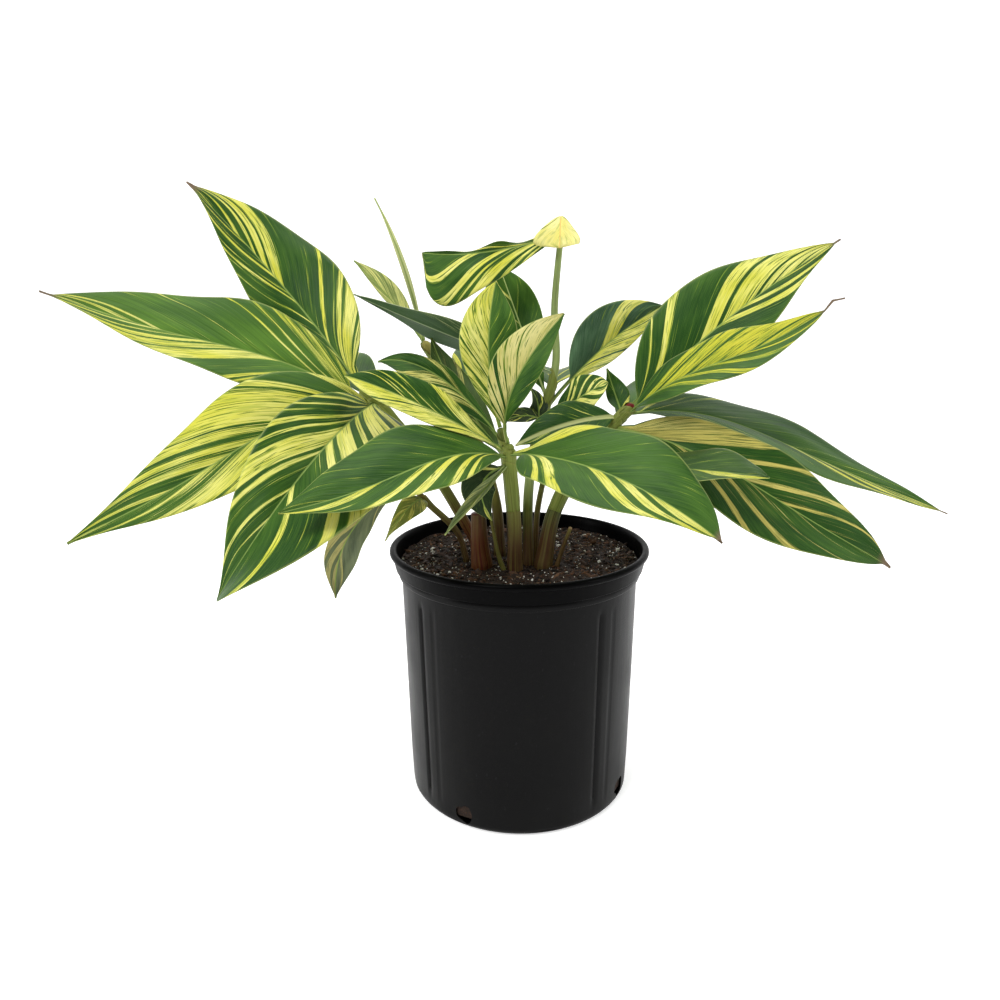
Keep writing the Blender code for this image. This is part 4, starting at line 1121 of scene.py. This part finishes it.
def soilLook():
    m = LookMaker("potting mix", {"Specular IOR Level": 0.30})
    spot = m.spot()
    lump = m.noise(spot, 260.0, 4.0, 0.65)
    patch = m.noise(spot, 35.0)
    fibre = m.noise(spot * (1.0, 0.35, 1.0), 900.0, 3.0, 0.7)
    tone = m.mixed((lump - 0.25).held() * 1.4, (0.004, 0.003, 0.002), (0.045, 0.020, 0.010))
    tone = m.mixed((fibre - 0.56).held() * 2.2, tone, (0.130, 0.070, 0.038))
    tone = m.mixed((patch - 0.5).held() * 0.8, tone, (0.012, 0.008, 0.006))
    return m.finish(tone, 0.86 + (patch - 0.5) * 0.2, lump + fibre * 0.5, 0.8, 0.0015)


def crumbLook(name, rough, dark, middle, pale):
    m = LookMaker(name, {"Specular IOR Level": 0.35})
    grain = m.noise(m.spot(), 1300.0)
    tone = m.node("ShaderNodeValToRGB", {0: m.read("crumbTone") + (grain - 0.5) * 0.5},
                  stops=[(0.0, dark), (0.55, middle), (1.0, pale)])
    return m.finish(tone, rough + (grain - 0.5) * 0.2, grain, 0.6, 0.0004)


# Scatters one shape over the open soil, each with its own tilt, turn and tone
def scattered(m, shape, tilt, scale, seed):
    _, _, upward = m.node("GeometryNodeInputNormal").parts()
    x, y, height = m.node("GeometryNodeInputPosition").parts()
    isOpen = (upward > soilPlan["steepest"]) * (height > soilPlan["openAbove"])
    isOpen = isOpen * (m["edge"] > (x * x + y * y) ** 0.5)
    points = m.node("GeometryNodeDistributePointsOnFaces",
                    {"Mesh": m["shape"], "Selection": isOpen, "Density": m["density"],
                     "Seed": m["seed"]}, distribute_method="RANDOM")
    spin = m.random((-tilt, -tilt, 0.0), (tilt, tilt, 6.283), seed)
    many = m.node("GeometryNodeInstanceOnPoints",
                  {"Points": points, "Instance": shape, "Rotation": spin, "Scale": scale})
    return m.finish(m.keep(many, "crumbTone", m.random(0.0, 1.0, seed + 3), "FLOAT", "INSTANCE"))


def crumbTree():
    m = ShapeMaker("soil crumbs", Float="density small large edge", Vector="stretch", Int="seed sides")
    lump = m.node("GeometryNodeMeshIcoSphere", {"Radius": 1.0, "Subdivisions": m["sides"]})
    dents = m.noise(m.node("GeometryNodeInputPosition"), 1.3, 1.0).also("Color")
    lump = m.move(lump, "Offset", (dents - (0.5, 0.5, 0.5)) * 0.9)
    size = m.random(0.0, 1.0, 2)
    radius = m["small"] + (m["large"] - m["small"]) * size * size
    uneven = m.random((0.7, 0.7, 0.7), (1.3, 1.3, 1.3), 3)
    return scattered(m, lump, 0.6, m["stretch"] * uneven * radius, 1)


# Loose fibres: short bent threads that lie on the soil
def fibreTree():
    m = ShapeMaker("soil fibres", Float="density length thickness edge", Int="seed")
    line = m.node("GeometryNodeCurvePrimitiveLine",
                  {"Start": (-0.5, 0.0, 0.0), "End": (0.5, 0.0, 0.0)})
    line = m.node("GeometryNodeResampleCurve", {"Curve": line, "Count": 6}, mode="COUNT")
    x, _, _ = m.node("GeometryNodeInputPosition").parts()
    line = m.move(line, "Offset", m.join(0.0, (x * 4.0).sin() * 0.12, (x * 5.0).cos() * 0.06))
    ring = m.node("GeometryNodeCurvePrimitiveCircle", {"Resolution": 4, "Radius": m["thickness"]})
    thread = m.node("GeometryNodeCurveToMesh",
                    {"Curve": line, "Profile Curve": ring, "Fill Caps": True})
    return scattered(m, thread, 0.3, m.random(0.4, 1.0, 6) * m["length"], 5)


def buildSoil():
    s, p, play = soilPlan, potPlan, soilPlan["play"]
    wall, floor = p["wall"] + play, p["floor"] + play
    outline = [(0.0, floor), (p["footRadius"] - p["footCorner"] - play, floor),
               (p["footRadius"] - wall, p["floor"] + p["footCorner"] / 2 + play)]
    top = (p["shoulderRadius"] - wall - play, p["collarBottom"] - 0.002)
    outline += between(outline[-1], top, 12) + [top]
    outline.append((p["bandRadius"] - wall - 0.0020, p["bandBottom"] + 0.0008))
    for k in range(s["rings"] + 1):
        share = 1 - k / s["rings"]
        outline.append((share * s["edge"], s["level"] + s["crown"] * (1 - share ** 2)))
    soil = turned("potting_soil", outline, s["sides"], soilLook(), soilShift)
    settle(soil, "potting_soil", "soil")
    crumbs, fibres = crumbTree(), fibreTree()
    for kind, plan in crumbKinds.items():
        values = {**plan, "edge": s["edge"] - plan["rim"], "look": crumbLook(*plan["look"])}
        made = grown("soil_" + kind, fibres if kind == "fibres" else crumbs, values, soil.data)
        print("soil", kind, len(made.data.polygons), "faces")
        settle(made, "potting_soil")


# Studio: a pale floor that sweeps up into a backdrop, soft lamps, and the photograph's camera
studioPlan = {
    "camera": (-0.0185, -0.741, 0.4715), "pitch": 13.36, "roll": -0.36, "lens": 27.94,
    "world": 0.30, "glow": 0.55, "front": -6.0, "back": 3.4, "bend": 1.6, "top": 7.0, "half": 9.0,
    "drop": 0.0005,
    "lamps": {
        "keyLamp": dict(place=(-1.3, -1.7, 2.3), target=(0.0, 0.0, 0.35), size=(1.2, 1.0), power=42),
        "fillLamp": dict(place=(2.0, -0.8, 1.3), target=(0.0, 0.0, 0.25), size=(0.30, 1.6), power=18),
        "leftLamp": dict(place=(-2.0, -0.5, 1.0), target=(0.0, 0.0, 0.2), size=(0.35, 1.8), power=14),
        "topLamp": dict(place=(0.0, 0.3, 2.6), target=(0.0, 0.0, 0.3), size=(1.6, 1.6), power=30),
    },
}


def buildStage():
    p = studioPlan
    paper = LookMaker("studio paper", {
        "Roughness": 0.9, "Specular IOR Level": 0.1, "Base Color": (0.86, 0.86, 0.86, 1.0),
        "Emission Color": (1.0, 1.0, 1.0, 1.0), "Emission Strength": p["glow"]})
    centre = (p["back"] - p["bend"], p["bend"])
    depth = [(p["front"], 0.0), *arc(centre, p["bend"], -90, 0, 16), (p["back"], p["top"])]
    grid = [(x, y, z - p["drop"]) for y, z in depth for x in (-p["half"], p["half"])]
    faces = [(2 * k, 2 * k + 1, 2 * k + 3, 2 * k + 2) for k in range(len(depth) - 1)]
    mesh = bpy.data.meshes.new("studioFloor")
    mesh.from_pydata(grid, [], faces)
    mesh.shade_smooth()
    mesh.materials.append(paper.look)
    floor = placed("studioFloor", mesh)

    world = bpy.data.worlds.new("studioLight")
    world.use_nodes = True
    sky = world.node_tree.nodes["Background"].inputs
    sky["Color"].default_value = (1.0, 1.0, 1.0, 1.0)
    sky["Strength"].default_value = p["world"]
    bpy.context.scene.world = world
    bpy.context.scene.view_settings.view_transform = "Standard"
    for name, lamp in p["lamps"].items():
        data = bpy.data.lights.new(name, "AREA")
        data.shape, data.energy = "RECTANGLE", lamp["power"]
        data.size, data.size_y = lamp["size"]
        made = placed(name, data)
        made.location = lamp["place"]
        aim = Vector(lamp["target"]) - Vector(lamp["place"])
        made.rotation_euler = aim.to_track_quat("-Z", "Y").to_euler()


def buildCamera():
    p = studioPlan
    pitch, roll = math.radians(p["pitch"]), math.radians(p["roll"])
    ahead = Vector((0, math.cos(pitch), -math.sin(pitch)))
    right = Vector((1, 0, 0))
    up = right.cross(ahead)
    across = math.cos(roll) * right + math.sin(roll) * up
    upward = math.cos(roll) * up - math.sin(roll) * right
    data = bpy.data.cameras.new("photoCamera")
    data.lens, data.sensor_width = p["lens"], 36
    data.clip_start, data.clip_end = 0.01, 50
    camera = placed("photoCamera", data)
    turn = Matrix((across, upward, -ahead)).transposed().to_4x4()
    camera.matrix_world = Matrix.Translation(p["camera"]) @ turn
    bpy.context.scene.camera = camera


def main():
    buildStage()
    buildCamera()
    print("studio ready")
    buildPot()
    buildSoil()
    buildPlant()


main()
